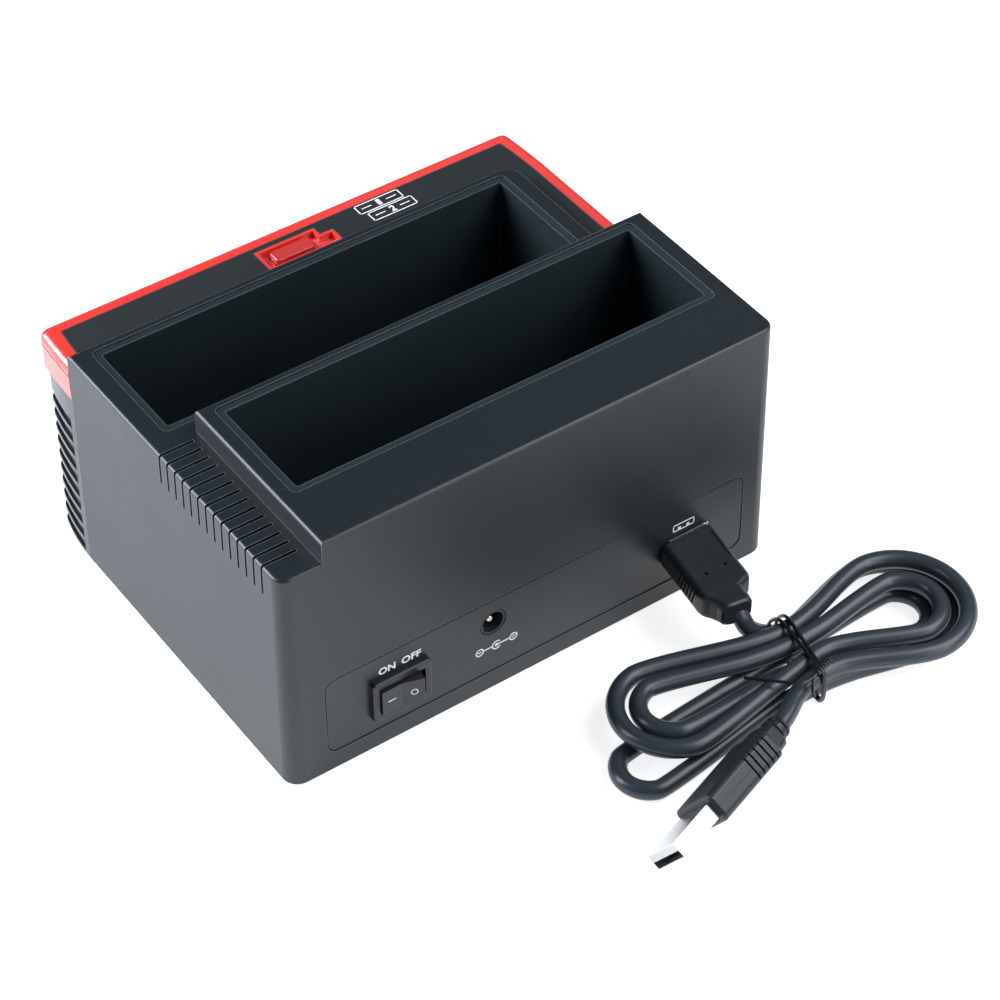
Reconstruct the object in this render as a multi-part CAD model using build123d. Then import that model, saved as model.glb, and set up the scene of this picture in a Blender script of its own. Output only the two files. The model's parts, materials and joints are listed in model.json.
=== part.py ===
from build123d import *
import math
import os

os.makedirs("parts", exist_ok=True)

# Millimetres. X runs along the dock, Y towards its connectors, Z up from the table.

# Housing
housing_length = 150.0
housing_depth = 101.2
deck_height = 70.6
tower_height = 77.3
tower_left = 62.1
tower_depth = 58.0
pod_right = 63.5
pod_corner = 5.0
wall = 2.2
side_draft = 0.63
corner_radius = 4.5
top_round = 0.9

# Front section
bezel_depth = 18.4
plate_level = 67.0
band_height = 11.0
trim_wall = 3.4
rim_width = 4.4
rim_round = 2.4
rim_groove_drop = 3.1
rim_groove_width = 0.5
rim_groove_depth = 0.4
ledge_width = 1.2
plate_thickness = 1.8
plate_gap = 0.12
trim_taper = 1.0
trim_corner = 2.8
bezel_wall = 2.4
bezel_taper = 2.9
bezel_bow = 0.7
bezel_corner = 3.5

# Feet and base cover
foot_stand = 1.0
foot_radius = 5.0
foot_recess = 0.8
foot_inset = 13.0
cover_thickness = 2.2
cover_gap = 0.2
boss_radius = 3.2
boss_inset = 7.4
screw_radius = 1.25
screw_head_radius = 2.4
screw_head_height = 1.4
screw_length = 9.0
screw_gap = 0.15
thread_gap = 0.04
slot_share = 0.65

# Drive wells
well_length = 127.0
well_width = 36.5
well_lip = 1.9
well_lip_drop = 0.4
well_gap = 0.15
well_floor_level = 15.6
well_floor = 1.4
well_corner = 1.6
well_ear = 1.5
well_ear_thickness = 1.6
front_well_x = 5.05
front_well_back = 80.45
rear_well_x = -5.55
rear_well_back = 37.45

# Vent slits
vent_count = 14
vent_pitch = 3.61
vent_first_back = 8.6
vent_width = 0.8
vent_reach = 9.9
vent_drop = 9.2

# Rear panel and what shows in it
panel_left = 63.7
panel_right = 66.0
panel_bottom = 5.9
panel_top = 30.7
panel_corner = 3.0
panel_gap = 0.25
panel_set = 0.3
panel_thickness = 2.0
panel_flange = 1.8
panel_flange_thickness = 1.2
switch_x = 42.3
switch_z = 16.85
switch_proud = 1.8
rocker_half = 5.9
rocker_tip = 6.3
rocker_tilt = 8.0
pivot_drop = 4.5
jack_x = 13.7
jack_z = 23.0
usb_x = -48.5
usb_z = 17.2

# Circuit board
board_level = 13.2
board_thickness = 1.6
board_half_length = 70.0
board_margin = 0.6
standoff_radius = 3.0

# One overrun serves all cuts
overrun = 2.0

# The rocker's raised end is the rearmost point
half_length = housing_length / 2
tilt = math.radians(rocker_tilt)
pivot_set = panel_set + pivot_drop - switch_proud
rocker_reach = rocker_tip * math.cos(tilt) + rocker_half * math.sin(tilt) - pivot_set
rear_y = (housing_depth + bezel_depth - rocker_reach) / 2
seam_y = rear_y - housing_depth
front_y = seam_y - bezel_depth
tower_front = rear_y - tower_depth
base_z = foot_stand
deck_z = base_z + deck_height
tower_z = base_z + tower_height
plate_z = base_z + plate_level
band_z = plate_z - band_height
board_z = base_z + board_level
board_low = board_z - board_thickness
lean = math.tan(math.radians(side_draft))
panel_y = rear_y - panel_set
flange_y = rear_y - wall - lean * (panel_top + panel_flange) - plate_gap
board_front = seam_y + wall + board_margin
board_back = flange_y - panel_flange_thickness - board_margin


def span(x_low, x_high, y_low, y_high, z_low, z_high):
    middle = Pos((x_low + x_high) / 2, (y_low + y_high) / 2, (z_low + z_high) / 2)
    return middle * Box(x_high - x_low, y_high - y_low, z_high - z_low)


def post(x, y, z_low, z_high, radius):
    return Pos(x, y, (z_low + z_high) / 2) * Cylinder(radius, z_high - z_low)


def pin_along_y(x, z, y_low, y_high, radius):
    turned = Rot(90, 0, 0) * Cylinder(radius, y_high - y_low)
    return Pos(x, (y_low + y_high) / 2, z) * turned


def rounded_span(x_low, x_high, y_low, y_high, z_low, z_high, radius):
    block = span(x_low, x_high, y_low, y_high, z_low, z_high)
    return fillet(block.edges().filter_by(Axis.Z), radius)


def save(name, shape):
    export_step(shape, f"parts/{name}.step")


def screw(length):
    """A pan head below the origin and a plain shank above it."""
    body = Pos(0, 0, -screw_head_height / 2) * Cylinder(screw_head_radius, screw_head_height)
    body += Pos(0, 0, length / 2) * Cylinder(screw_radius, length)
    slot = Box(2 * screw_head_radius * slot_share, screw_head_height / 2, screw_head_height)
    for turn in (0, 90):
        body -= Pos(0, 0, -screw_head_height) * Rot(0, 0, turn) * slot
    return body


# The drafted body that every outer face of the housing follows
def drafted_body(inset, height):
    y_low = seam_y - overrun * 4
    y_high = rear_y - inset
    outline = Pos(0, (y_low + y_high) / 2) * Rectangle(2 * (half_length - inset), y_high - y_low)
    outline = fillet(outline.vertices().sort_by(Axis.Y)[-2:], corner_radius - inset)
    return extrude(Pos(0, 0, base_z) * outline, amount=height, taper=side_draft)


far = housing_length


def housing_zones(inset):
    lower = span(-far, far, seam_y + inset, far, base_z - overrun, band_z - inset)
    pod = span(-pod_right + inset, far, seam_y + inset, far, base_z, deck_z - inset)
    if not inset:
        front_right = pod.edges().filter_by(Axis.Z).sort_by(Axis.X)[:2].sort_by(Axis.Y)[0]
        pod = fillet(front_right, pod_corner)
    tower = span(-far, tower_left - inset, tower_front + inset, far, base_z, tower_z - inset)
    return lower + pod + tower


def make_housing():
    shell = drafted_body(0, tower_height) & housing_zones(0)
    shell = fillet([e for e in shell.edges() if top_edge(e)], top_round)
    cavity = drafted_body(wall, tower_height) & housing_zones(wall)
    shell -= cavity
    for well_x, well_back, top in wells:
        middle = rear_y - well_back
        half_x = well_length / 2 + well_gap
        half_y = well_width / 2 + well_gap
        shell -= rounded_span(well_x - half_x, well_x + half_x, middle - half_y, middle + half_y,
                              top - wall * 2, top + overrun, well_corner + well_gap)
    shell -= panel_block(panel_gap, rear_y - wall - overrun, rear_y + overrun)
    for step in range(vent_count):
        y = rear_y - vent_first_back - step * vent_pitch
        shell -= span(half_length - lean * deck_height - vent_reach, half_length + overrun,
                      y - vent_width / 2, y + vent_width / 2, deck_z - vent_drop, deck_z + overrun)
    shell -= span(-window_half, window_half, seam_y - overrun, seam_y + wall + overrun,
                  base_z + window_low, base_z + window_high)
    for x in (-boss_x, boss_x):
        for y in boss_ys:
            low = base_z + cover_thickness
            high = board_z - board_thickness - boss_clear
            side = math.copysign(half_length - wall * 0.5 - lean * high, x)
            rib = span(min(x, side), max(x, side), y - wall / 2, y + wall / 2, low, high)
            boss = post(x, y, low, high, boss_radius) + rib
            shell += boss - post(x, y, low - overrun, high - boss_blind, screw_radius + thread_gap)
    for x in (-bezel_screw_x, bezel_screw_x):
        shell -= pin_along_y(x, base_z + bezel_screw_z, seam_y - overrun, seam_y + wall + overrun,
                             screw_radius + screw_gap)
    return shell


window_half = 48.0
window_low = 12.0
window_high = 50.0
boss_clear = 0.6
boss_blind = 0.8
boss_x = half_length - boss_inset
boss_ys = (seam_y + boss_inset, rear_y - boss_inset)
bezel_screw_x = 58.0
bezel_screw_z = 6.5
wells = ((front_well_x, front_well_back, deck_z), (rear_well_x, rear_well_back, tower_z))
edge_slack = 0.4


def top_edge(edge):
    """The outer top edges of the deck and the tower, away from the seam."""
    c = edge.center()
    if abs(c.Z - tower_z) < edge_slack:
        return True
    if abs(c.Z - deck_z) > edge_slack or c.Y < seam_y + edge_slack:
        return False
    on_side = c.X > half_length - wall
    on_end = abs(c.X + pod_right) < pod_corner and c.Y < tower_front
    on_rear = c.Y > rear_y - wall - corner_radius and c.X > tower_left
    return on_side or on_end or on_rear


def panel_block(gap, y_low, y_high):
    block = span(-panel_right - gap, panel_left + gap, y_low, y_high,
                 base_z + panel_bottom - gap, base_z + panel_top + gap)
    return fillet(block.edges().filter_by(Axis.Y), panel_corner + gap)


save("main_housing", make_housing())


# Drive wells
def make_well(well_x, well_back, top, holes):
    middle = rear_y - well_back
    half_x = well_length / 2
    half_y = well_width / 2
    rim = top - well_lip_drop
    floor_low = base_z + well_floor_level - well_floor
    body = rounded_span(well_x - half_x, well_x + half_x, middle - half_y, middle + half_y,
                        floor_low, rim, well_corner)
    body -= rounded_span(well_x - half_x + well_lip, well_x + half_x - well_lip,
                         middle - half_y + well_lip, middle + half_y - well_lip,
                         floor_low + well_floor, rim + overrun, well_corner / 2)
    ear_top = top - wall
    for side in (-1, 1):
        inner = well_x + side * (half_x - well_lip / 2)
        outer = well_x + side * (half_x + well_ear)
        body += span(min(inner, outer), max(inner, outer), middle - half_y + well_corner,
                     middle + half_y - well_corner, ear_top - well_ear_thickness, ear_top)
    for x, y, size_x, size_y in holes:
        body -= span(x - size_x / 2 - socket_gap, x + size_x / 2 + socket_gap,
                     y - size_y / 2 - socket_gap, y + size_y / 2 + socket_gap,
                     floor_low - overrun, floor_low + well_floor + overrun)
    return body


# Drive sockets: the slim one at the front of each well, the wide pair behind it
socket_gap = 0.3
sata_length = 42.0
sata_width = 5.4
sata_rise = 4.6
ide_length = 55.6
ide_width = 8.6
ide_rise = 4.2
power_length = 21.0
power_width = 8.8
power_rise = 5.0
sata_x = -16.0
sata_forward = 7.2
ide_x = -14.0
power_x = 30.0
ide_backward = 6.4


def socket_places(well_x, well_back):
    middle = rear_y - well_back
    return (
        (well_x + sata_x, middle - sata_forward, sata_length, sata_width),
        (well_x + ide_x, middle + ide_backward, ide_length, ide_width),
        (well_x + power_x, middle + ide_backward, power_length, power_width),
    )


for name, (well_x, well_back, top) in zip(("front_well", "rear_well"), wells):
    save(name, make_well(well_x, well_back, top, socket_places(well_x, well_back)))

sata_key_depth = 4.0
sata_key_width = 1.6
sata_key_wall = 1.4
ide_pocket_wall = 1.2
ide_pocket_depth = 6.0
ide_pin = 0.6
ide_pin_pitch = 2.54
ide_columns = 20
power_hole_radius = 1.7
power_pitch = 5.08
power_holes = 4
pocket_floor = 1.5


def make_sata(x, y, size_x, size_y):
    top = base_z + well_floor_level + sata_rise
    body = span(x - size_x / 2, x + size_x / 2, y - size_y / 2, y + size_y / 2, board_z, top)
    slot = span(x - size_x / 2 + sata_key_wall, x + size_x / 2 - sata_key_wall,
                y - sata_key_width / 2, y + sata_key_width / 2, top - sata_key_depth, top + overrun)
    bridge_x = x + size_x / 6
    slot -= span(bridge_x - sata_key_wall / 2, bridge_x + sata_key_wall / 2,
                 y - size_y, y + size_y, board_z, top + overrun)
    return body - slot


def make_ide(x, y, size_x, size_y):
    top = base_z + well_floor_level + ide_rise
    body = span(x - size_x / 2, x + size_x / 2, y - size_y / 2, y + size_y / 2, board_z, top)
    body -= span(x - size_x / 2 + ide_pocket_wall, x + size_x / 2 - ide_pocket_wall,
                 y - size_y / 2 + ide_pocket_wall, y + size_y / 2 - ide_pocket_wall,
                 top - ide_pocket_depth, top + overrun)
    block = span(x - size_x / 2 + ide_pocket_wall * 2, x + size_x / 2 - ide_pocket_wall * 2,
                 y - ide_pin_pitch, y + ide_pin_pitch, top - ide_pocket_depth, top - pocket_floor)
    hole_half = ide_pin / 2
    for column in range(ide_columns):
        hole_x = x + (column - (ide_columns - 1) / 2) * ide_pin_pitch
        for side in (-1, 1):
            hole_y = y + side * ide_pin_pitch / 2
            block -= span(hole_x - hole_half, hole_x + hole_half, hole_y - hole_half,
                          hole_y + hole_half, top - ide_pocket_depth, top)
    return body + block


def make_power(x, y, size_x, size_y):
    top = base_z + well_floor_level + power_rise
    body = span(x - size_x / 2, x + size_x / 2, y - size_y / 2, y + size_y / 2, board_z, top)
    for hole in range(power_holes):
        hole_x = x + (hole - (power_holes - 1) / 2) * power_pitch
        body -= post(hole_x, y, top - ide_pocket_depth, top + overrun, power_hole_radius)
    return body


for side, (well_x, well_back, top) in zip(("front", "rear"), wells):
    sata, ide, power = socket_places(well_x, well_back)
    save(f"{side}_sata_socket", make_sata(*sata))
    save(f"{side}_ide_header", make_ide(*ide))
    save(f"{side}_power_header", make_power(*power))


# Front section: red trim, matte plate, gloss bezel
def front_outline(half_low, taper, bow, corner, y_front):
    """Plan of the front section, wider at the seam, with bowed ends and rounded front corners."""
    end_x = half_low - taper
    middle_x = (half_low + end_x) / 2 + bow
    middle_y = (seam_y + y_front) / 2
    back_y = seam_y + lap
    outline = make_face([
        Line((half_low, back_y), (-half_low, back_y)),
        Line((-half_low, back_y), (-half_low, seam_y)),
        ThreePointArc((-half_low, seam_y), (-middle_x, middle_y), (-end_x, y_front)),
        Line((-end_x, y_front), (end_x, y_front)),
        ThreePointArc((end_x, y_front), (middle_x, middle_y), (half_low, seam_y)),
        Line((half_low, seam_y), (half_low, back_y)),
    ])
    return fillet(outline.vertices().sort_by(Axis.Y)[:2], corner)


lap = 3.0
inset_corner = 0.6
trim_bow = 0.15
draft_drop = lean * (plate_level - band_height)
trim_half = half_length - draft_drop
trim_front = front_y + draft_drop


def trim_strip(inset, z_low, z_high):
    outline = front_outline(trim_half - inset, trim_taper, trim_bow,
                            max(trim_corner - inset, inset_corner), trim_front + inset)
    block = extrude(Pos(0, 0, z_low) * outline, amount=z_high - z_low)
    return block & span(-far, far, -far, seam_y, z_low, z_high)


def trim_block(inset, z_low, z_high):
    """Front strip and right arm of the trim's plan, drawn in by inset from their free sides."""
    return trim_strip(inset, z_low, z_high) + trim_arm(inset, z_low, z_high) + corner_fill(z_low, z_high)


def trim_arm(inset, z_low, z_high):
    return span(-trim_half + inset, -pod_right - plate_gap, seam_y, tower_front - plate_gap, z_low, z_high)


def corner_fill(z_low, z_high):
    """What fills in between the strip, the arm and the pod's rounded corner."""
    block = span(-pod_right - pod_corner, -pod_right + pod_corner, seam_y, seam_y + pod_corner,
                 z_low, z_high)
    pod = span(-pod_right - plate_gap, far, seam_y, far, z_low - overrun, z_high + overrun)
    edge = pod.edges().filter_by(Axis.Z).sort_by(Axis.X)[:2].sort_by(Axis.Y)[0]
    return block - fillet(edge, pod_corner + plate_gap)


def rounded_top(block, wanted):
    rim = [e for e in block.edges() if abs(e.center().Z - plate_z) < edge_slack and wanted(e.center())]
    return fillet(rim, rim_round)


def make_trim():
    strip = rounded_top(trim_strip(0, band_z, plate_z), lambda c: c.Y < seam_y - edge_slack)
    arm = rounded_top(trim_arm(0, band_z, plate_z), lambda c: c.X < -trim_half + edge_slack)
    body = strip + arm + corner_fill(band_z, plate_z)
    ledge_z = plate_z - plate_thickness
    body -= trim_block(trim_wall, band_z - overrun, ledge_z - ledge_thickness)
    body -= trim_block(rim_width + ledge_width, band_z, plate_z + overrun)
    body -= trim_block(rim_width, ledge_z, plate_z + overrun)
    groove_top = plate_z - rim_groove_drop
    groove_low = groove_top - rim_groove_width
    around = span(-far, far, -far, tower_front - plate_gap, groove_low, groove_top)
    return body - (around - trim_block(rim_groove_depth, groove_low, groove_top))


ledge_thickness = 1.6
save("red_trim", make_trim())

# Button and its red tray
tray_x = 2.5
tray_length = 17.0
tray_width = 7.0
tray_forward = 7.1
tray_y = seam_y - tray_forward
tab_length = 4.0
tab_width = 3.8
tray_wall = 0.8
tray_depth = 1.6
tray_floor = 1.2
cap_length = 12.0
cap_width = 4.6
cap_corner = 1.0
cap_proud = 0.3
cap_gap = 0.25
cap_travel = 0.8
cap_flange = 0.9
cap_flange_thickness = 1.0
tact_size = 6.0
tact_height = 3.5
tact_plunger_radius = 1.7
tact_plunger_height = 1.5
tact_hole_depth = 1.1
button_board_length = 50.0
button_board_width = 10.0
post_radius = 2.2
post_x = 19.0


def tray_plan(grow, z_low, z_high):
    """The recess in plan: a rectangle with a tab at its right end."""
    main = span(tray_x - tray_length / 2 - grow, tray_x + tray_length / 2 + grow,
                tray_y - tray_width / 2 - grow, tray_y + tray_width / 2 + grow, z_low, z_high)
    tab_low = tray_x - tray_length / 2 - tab_length - grow
    tab_high = tray_y + tray_width / 2 + grow
    tab = span(tab_low, tray_x, tab_high - tab_width - 2 * grow, tab_high, z_low, z_high)
    return main + tab


def cap_plan(grow, z_low, z_high):
    return rounded_span(tray_x - cap_length / 2 - grow, tray_x + cap_length / 2 + grow,
                        tray_y - cap_width / 2 - grow, tray_y + cap_width / 2 + grow,
                        z_low, z_high, cap_corner)


tray_top = plate_z - tray_depth
tray_low = tray_top - tray_floor
flange_top = tray_low - cap_gap
flange_low = flange_top - cap_flange_thickness
tact_top = flange_low - tact_plunger_height
button_board_z = tact_top - tact_height
post_low = button_board_z


def make_plate():
    body = trim_block(rim_width + plate_gap, plate_z - plate_thickness, plate_z)
    body -= tray_plan(tray_wall + plate_gap, plate_z - plate_thickness - overrun, plate_z + overrun)
    for x in (tray_x - post_x, tray_x + post_x):
        body += post(x, tray_y, post_low, plate_z - plate_thickness / 2, post_radius)
        body -= post(x, tray_y, post_low - overrun, plate_z - plate_thickness * 2, screw_radius + thread_gap)
    return body


def make_tray():
    body = tray_plan(tray_wall, tray_low, plate_z)
    body -= tray_plan(0, tray_top, plate_z + overrun)
    body += tray_plan(tray_wall + tray_flange, tray_low, plate_z - plate_thickness)
    return body - cap_plan(cap_gap, tray_low - overrun, plate_z + overrun)


tray_flange = 0.7


def make_cap():
    top = plate_z + cap_proud
    crown = cap_plan(0, flange_low, top)
    crown = fillet(crown.faces().sort_by(Axis.Z)[-1].edges(), cap_round)
    return crown + cap_plan(cap_flange, flange_low, flange_top)


cap_round = 0.5

save("top_plate", make_plate())
save("button_tray", make_tray())
save("clone_button", make_cap())
plunger = post(tray_x, tray_y, tact_top - tact_hole_depth + cap_travel + thread_gap, flange_low,
               tact_plunger_radius)
save("tact_plunger", plunger)
tact = span(tray_x - tact_size / 2, tray_x + tact_size / 2, tray_y - tact_size / 2,
            tray_y + tact_size / 2, button_board_z, tact_top)
tact -= post(tray_x, tray_y, tact_top - tact_hole_depth, tact_top + overrun,
             tact_plunger_radius + thread_gap)
save("tact_switch", tact)
led_radius = 1.5
led_length = 5.0
led_drop = 2.7
led_xs_shares = (-0.4, 0, 0.4)
lens_radius = 1.6
lens_flange = 0.7
lens_thickness = 0.8
lens_proud = 0.15
button_screw_length = 5.5
led_z = button_board_z - board_thickness - led_drop
led_spread = post_x * 0.9
led_lens_y = front_y + bezel_wall + lean * (led_z - base_z)


def make_button_board():
    board = span(tray_x - button_board_length / 2, tray_x + button_board_length / 2,
                 tray_y - button_board_width / 2, tray_y + button_board_width / 2,
                 button_board_z - board_thickness, button_board_z)
    for x in (tray_x - post_x, tray_x + post_x):
        board -= post(x, tray_y, button_board_z - board_thickness * 2, button_board_z + overrun,
                      screw_radius + screw_gap)
    return board


save("button_board", make_button_board())
save("button_board_screws", Compound([
    Pos(x, tray_y, button_board_z - board_thickness) * screw(button_screw_length)
    for x in (tray_x - post_x, tray_x + post_x)
]))

led_front = led_lens_y + lens_thickness + lens_flange
leds = []
lenses = []
for share in led_xs_shares:
    x = tray_x + share * led_spread
    led = pin_along_y(x, led_z, led_front, led_front + led_length, led_radius)
    led += span(x - led_radius, x + led_radius, led_front + led_length - led_radius,
                led_front + led_length, led_z, button_board_z - board_thickness)
    leds.append(led)
    lens = pin_along_y(x, led_z, led_lens_y - bezel_wall - lens_proud, led_lens_y + lens_thickness,
                       lens_radius)
    lens += pin_along_y(x, led_z, led_lens_y + plate_gap, led_lens_y + lens_thickness,
                        lens_radius + lens_flange)
    lenses.append(lens)
save("status_leds", Compound(leds))
save("led_lenses", Compound(lenses))

# Gloss bezel with its stacked fins
fin_count = 11
fin_pitch = 4.83
fin_top = 48.5
fin_thickness = 1.3
fin_depth = 1.1
fin_flange = 1.8
fin_wrap = 50.0
bezel_screw_length = 8.0
bezel_screw_spare = 2.0


def bezel_solid(inset, z_low):
    outline = front_outline(half_length - inset, bezel_taper, bezel_bow,
                            max(bezel_corner - inset, inset_corner), front_y + inset)
    block = extrude(Pos(0, 0, base_z) * outline, amount=plate_level - band_height, taper=side_draft)
    return block & span(-far, far, -far, seam_y, z_low, band_z)


def make_bezel():
    body = bezel_solid(0, base_z)
    cavity = bezel_solid(bezel_wall, base_z + bezel_wall)
    body -= cavity
    for x in (-bezel_screw_x, bezel_screw_x):
        boss = pin_along_y(x, base_z + bezel_screw_z, front_y + bezel_wall, seam_y, boss_radius)
        body += boss - pin_along_y(x, base_z + bezel_screw_z, seam_y - bezel_screw_length, seam_y + overrun,
                                   screw_radius + thread_gap)
    core = bezel_solid(fin_depth, base_z)
    for gap in range(fin_count - 1):
        high = base_z + fin_top - gap * fin_pitch - fin_thickness / 2
        low = high - fin_pitch + fin_thickness
        slab = span(-far, far, -far, seam_y - fin_flange, low, high)
        slab -= span(-fin_wrap, fin_wrap, -far, seam_y, low - overrun, high + overrun)
        body -= slab - core
    for share in led_xs_shares:
        body -= pin_along_y(tray_x + share * led_spread, led_z, front_y - overrun,
                            led_lens_y + overrun, lens_radius + plate_gap / 2)
    return body


save("front_bezel", make_bezel())
bezel_screw = Rot(90, 0, 0) * screw(bezel_screw_length + wall - bezel_screw_spare)
save("bezel_screws", Compound([
    Pos(x, seam_y + wall, base_z + bezel_screw_z) * bezel_screw for x in (-bezel_screw_x, bezel_screw_x)
]))

# Base cover, feet and their screws
# Places on the board, as shares of its half sizes
standoff_shares = ((-0.914, -0.604), (0.921, -0.114), (0.857, 0.8), (-0.857, 0.823))
cover_corner = 2.6
cover_top = base_z + cover_thickness
counterbore = screw_head_height * 1.1
foot_gap = 0.1
cover_half = half_length - wall - cover_gap
cover_screw_length = 7.5
board_screw_length = 7.0


def board_place(shares):
    across, along = shares
    return across * board_half_length, (board_front + board_back + along * (board_back - board_front)) / 2


standoffs = [board_place(shares) for shares in standoff_shares]


def make_cover():
    plate = span(-cover_half, cover_half, seam_y + wall + cover_gap, rear_y - wall - cover_gap,
                 base_z, cover_top)
    plate = fillet(plate.edges().filter_by(Axis.Z).sort_by(Axis.Y)[-2:], cover_corner)
    for x in (-boss_x, boss_x):
        for y in boss_ys:
            plate -= post(x, y, base_z - overrun, base_z + counterbore, screw_head_radius + screw_gap)
            plate -= post(x, y, base_z, cover_top + overrun, screw_radius + screw_gap)
    for x, y in foot_places:
        plate -= post(x, y, base_z - overrun, base_z + foot_recess, foot_radius + foot_gap)
    for x, y in standoffs:
        plate += post(x, y, base_z + foot_recess, board_low, standoff_radius)
        plate -= post(x, y, board_low - board_screw_length, board_low + overrun, screw_radius + thread_gap)
    return plate


foot_places = [(x, y) for x in (-half_length + foot_inset, half_length - foot_inset)
               for y in (seam_y + foot_inset, rear_y - foot_inset)]
save("base_cover", make_cover())
save("base_screws", Compound([
    Pos(x, y, base_z + counterbore) * screw(cover_screw_length)
    for x in (-boss_x, boss_x) for y in boss_ys
]))
foot_round = 0.4
foot = Cylinder(foot_radius, foot_stand + foot_recess, align=(Align.CENTER, Align.CENTER, Align.MIN))
foot = fillet(foot.faces().sort_by(Axis.Z)[0].edges(), foot_round)
save("rubber_feet", Compound([Pos(x, y, 0) * foot for x, y in foot_places]))

# Rear panel
switch_frame_length = 17.4
switch_frame_height = 13.4
switch_body_length = 15.2
switch_body_height = 10.9
switch_hole_gap = 0.1
switch_open_length = 13.6
switch_open_height = 8.7
switch_floor_depth = 6.1
switch_depth = 11.0
rocker_height = 7.9
rocker_root = 1.2
rocker_dip = 5.3
rocker_hub = 2.2
pivot_radius = 0.9
pivot_length = 1.05
pivot_clearance = 0.05
jack_hole_radius = 4.0
jack_nose_gap = 0.2
jack_bore_radius = 3.2
jack_pin_radius = 1.0
jack_width = 9.0
jack_depth = 12.0
jack_bore_depth = 10.0
jack_pin_set = 1.2
jack_above = 4.8
usb_open_width = 13.6
usb_open_height = 6.3


def make_panel():
    body = panel_block(0, flange_y - panel_flange_thickness, panel_y)
    body += panel_block(panel_flange, flange_y - panel_flange_thickness, flange_y)
    body -= panel_block(-panel_flange, flange_y - panel_flange_thickness * 2, panel_y - panel_thickness)
    half_x = switch_body_length / 2 + switch_hole_gap
    half_z = switch_body_height / 2 + switch_hole_gap
    z = base_z + switch_z
    body -= span(switch_x - half_x, switch_x + half_x, panel_y - wall * 2, panel_y + overrun,
                 z - half_z, z + half_z)
    body -= pin_along_y(jack_x, base_z + jack_z, panel_y - wall * 2, panel_y + overrun, jack_hole_radius)
    z = base_z + usb_z
    return body - span(usb_x - usb_open_width / 2, usb_x + usb_open_width / 2, panel_y - wall * 2,
                       panel_y + overrun, z - usb_open_height / 2, z + usb_open_height / 2)


save("rear_panel", make_panel())

# Power switch
pivot_y = rear_y - pivot_set
switch_mid_z = base_z + switch_z
switch_back = panel_y - switch_depth


def make_switch_body():
    body = span(switch_x - switch_body_length / 2, switch_x + switch_body_length / 2, switch_back, panel_y,
                switch_mid_z - switch_body_height / 2, switch_mid_z + switch_body_height / 2)
    body += rounded_frame()
    body -= span(switch_x - switch_open_length / 2, switch_x + switch_open_length / 2,
                 panel_y - switch_floor_depth, panel_y + switch_proud + overrun,
                 switch_mid_z - switch_open_height / 2, switch_mid_z + switch_open_height / 2)
    half = rocker_height / 2 + pivot_length + pivot_clearance
    return body - post(switch_x, pivot_y, switch_mid_z - half, switch_mid_z + half,
                       pivot_radius + pivot_clearance)


def rounded_frame():
    frame = span(switch_x - switch_frame_length / 2, switch_x + switch_frame_length / 2, panel_y,
                 panel_y + switch_proud, switch_mid_z - switch_frame_height / 2,
                 switch_mid_z + switch_frame_height / 2)
    frame = fillet(frame.edges().filter_by(Axis.Y), switch_corner)
    return fillet(frame.faces().sort_by(Axis.Y)[-1].edges(), switch_edge)


switch_corner = 1.0
switch_edge = 0.5


def make_rocker():
    corners = [(-rocker_half, rocker_root), (rocker_half, rocker_root), (rocker_half, rocker_tip),
               (0, rocker_dip), (-rocker_half, rocker_tip)]
    profile = make_face(Polyline(*corners, close=True))
    body = extrude(Pos(0, 0, -rocker_height / 2) * profile, amount=rocker_height)
    body = fillet(body.edges().filter_by(Axis.Z).sort_by(Axis.Y)[2:], rocker_edge)
    body += Cylinder(rocker_hub, rocker_height)
    body += Cylinder(pivot_radius, rocker_height + 2 * pivot_length)
    return Pos(switch_x, pivot_y, switch_mid_z) * Rot(0, 0, -rocker_tilt) * body


rocker_edge = 0.3
save("switch_body", make_switch_body())
save("switch_rocker", make_rocker())
terminal_width = 4.8
terminal_thickness = 0.8
terminal_length = 6.0
terminal_spread = 4.2
save("switch_terminals", Compound([
    span(x - terminal_thickness / 2, x + terminal_thickness / 2, switch_back - terminal_length, switch_back,
         switch_mid_z - terminal_width / 2, switch_mid_z + terminal_width / 2)
    for x in (switch_x - terminal_spread, switch_x + terminal_spread)
]))

# Power inlet
jack_face = panel_y - panel_thickness
jack_mid_z = base_z + jack_z
jack_back = jack_face - jack_depth
jack_mouth = panel_y - plate_gap
jack = span(jack_x - jack_width / 2, jack_x + jack_width / 2, jack_back, jack_face,
            board_z, jack_mid_z + jack_above)
jack += pin_along_y(jack_x, jack_mid_z, jack_face, jack_mouth, jack_hole_radius - jack_nose_gap)
jack -= pin_along_y(jack_x, jack_mid_z, jack_mouth - jack_bore_depth, jack_mouth + overrun, jack_bore_radius)
save("dc_jack_body", jack)
jack_pin = pin_along_y(jack_x, jack_mid_z, jack_mouth - jack_bore_depth, jack_mouth - jack_pin_set,
                       jack_pin_radius)
save("dc_jack_pin", fillet(jack_pin.faces().sort_by(Axis.Y)[-1].edges(), jack_pin_radius / 2))
leg_width = 2.4
leg_thickness = 0.5
save("dc_jack_terminals", Compound([
    span(jack_x - leg_width / 2, jack_x + leg_width / 2, y, y + leg_thickness, board_low - leg_thickness,
         board_low)
    for y in (jack_back + leg_width, jack_face - leg_width)
]))

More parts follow.
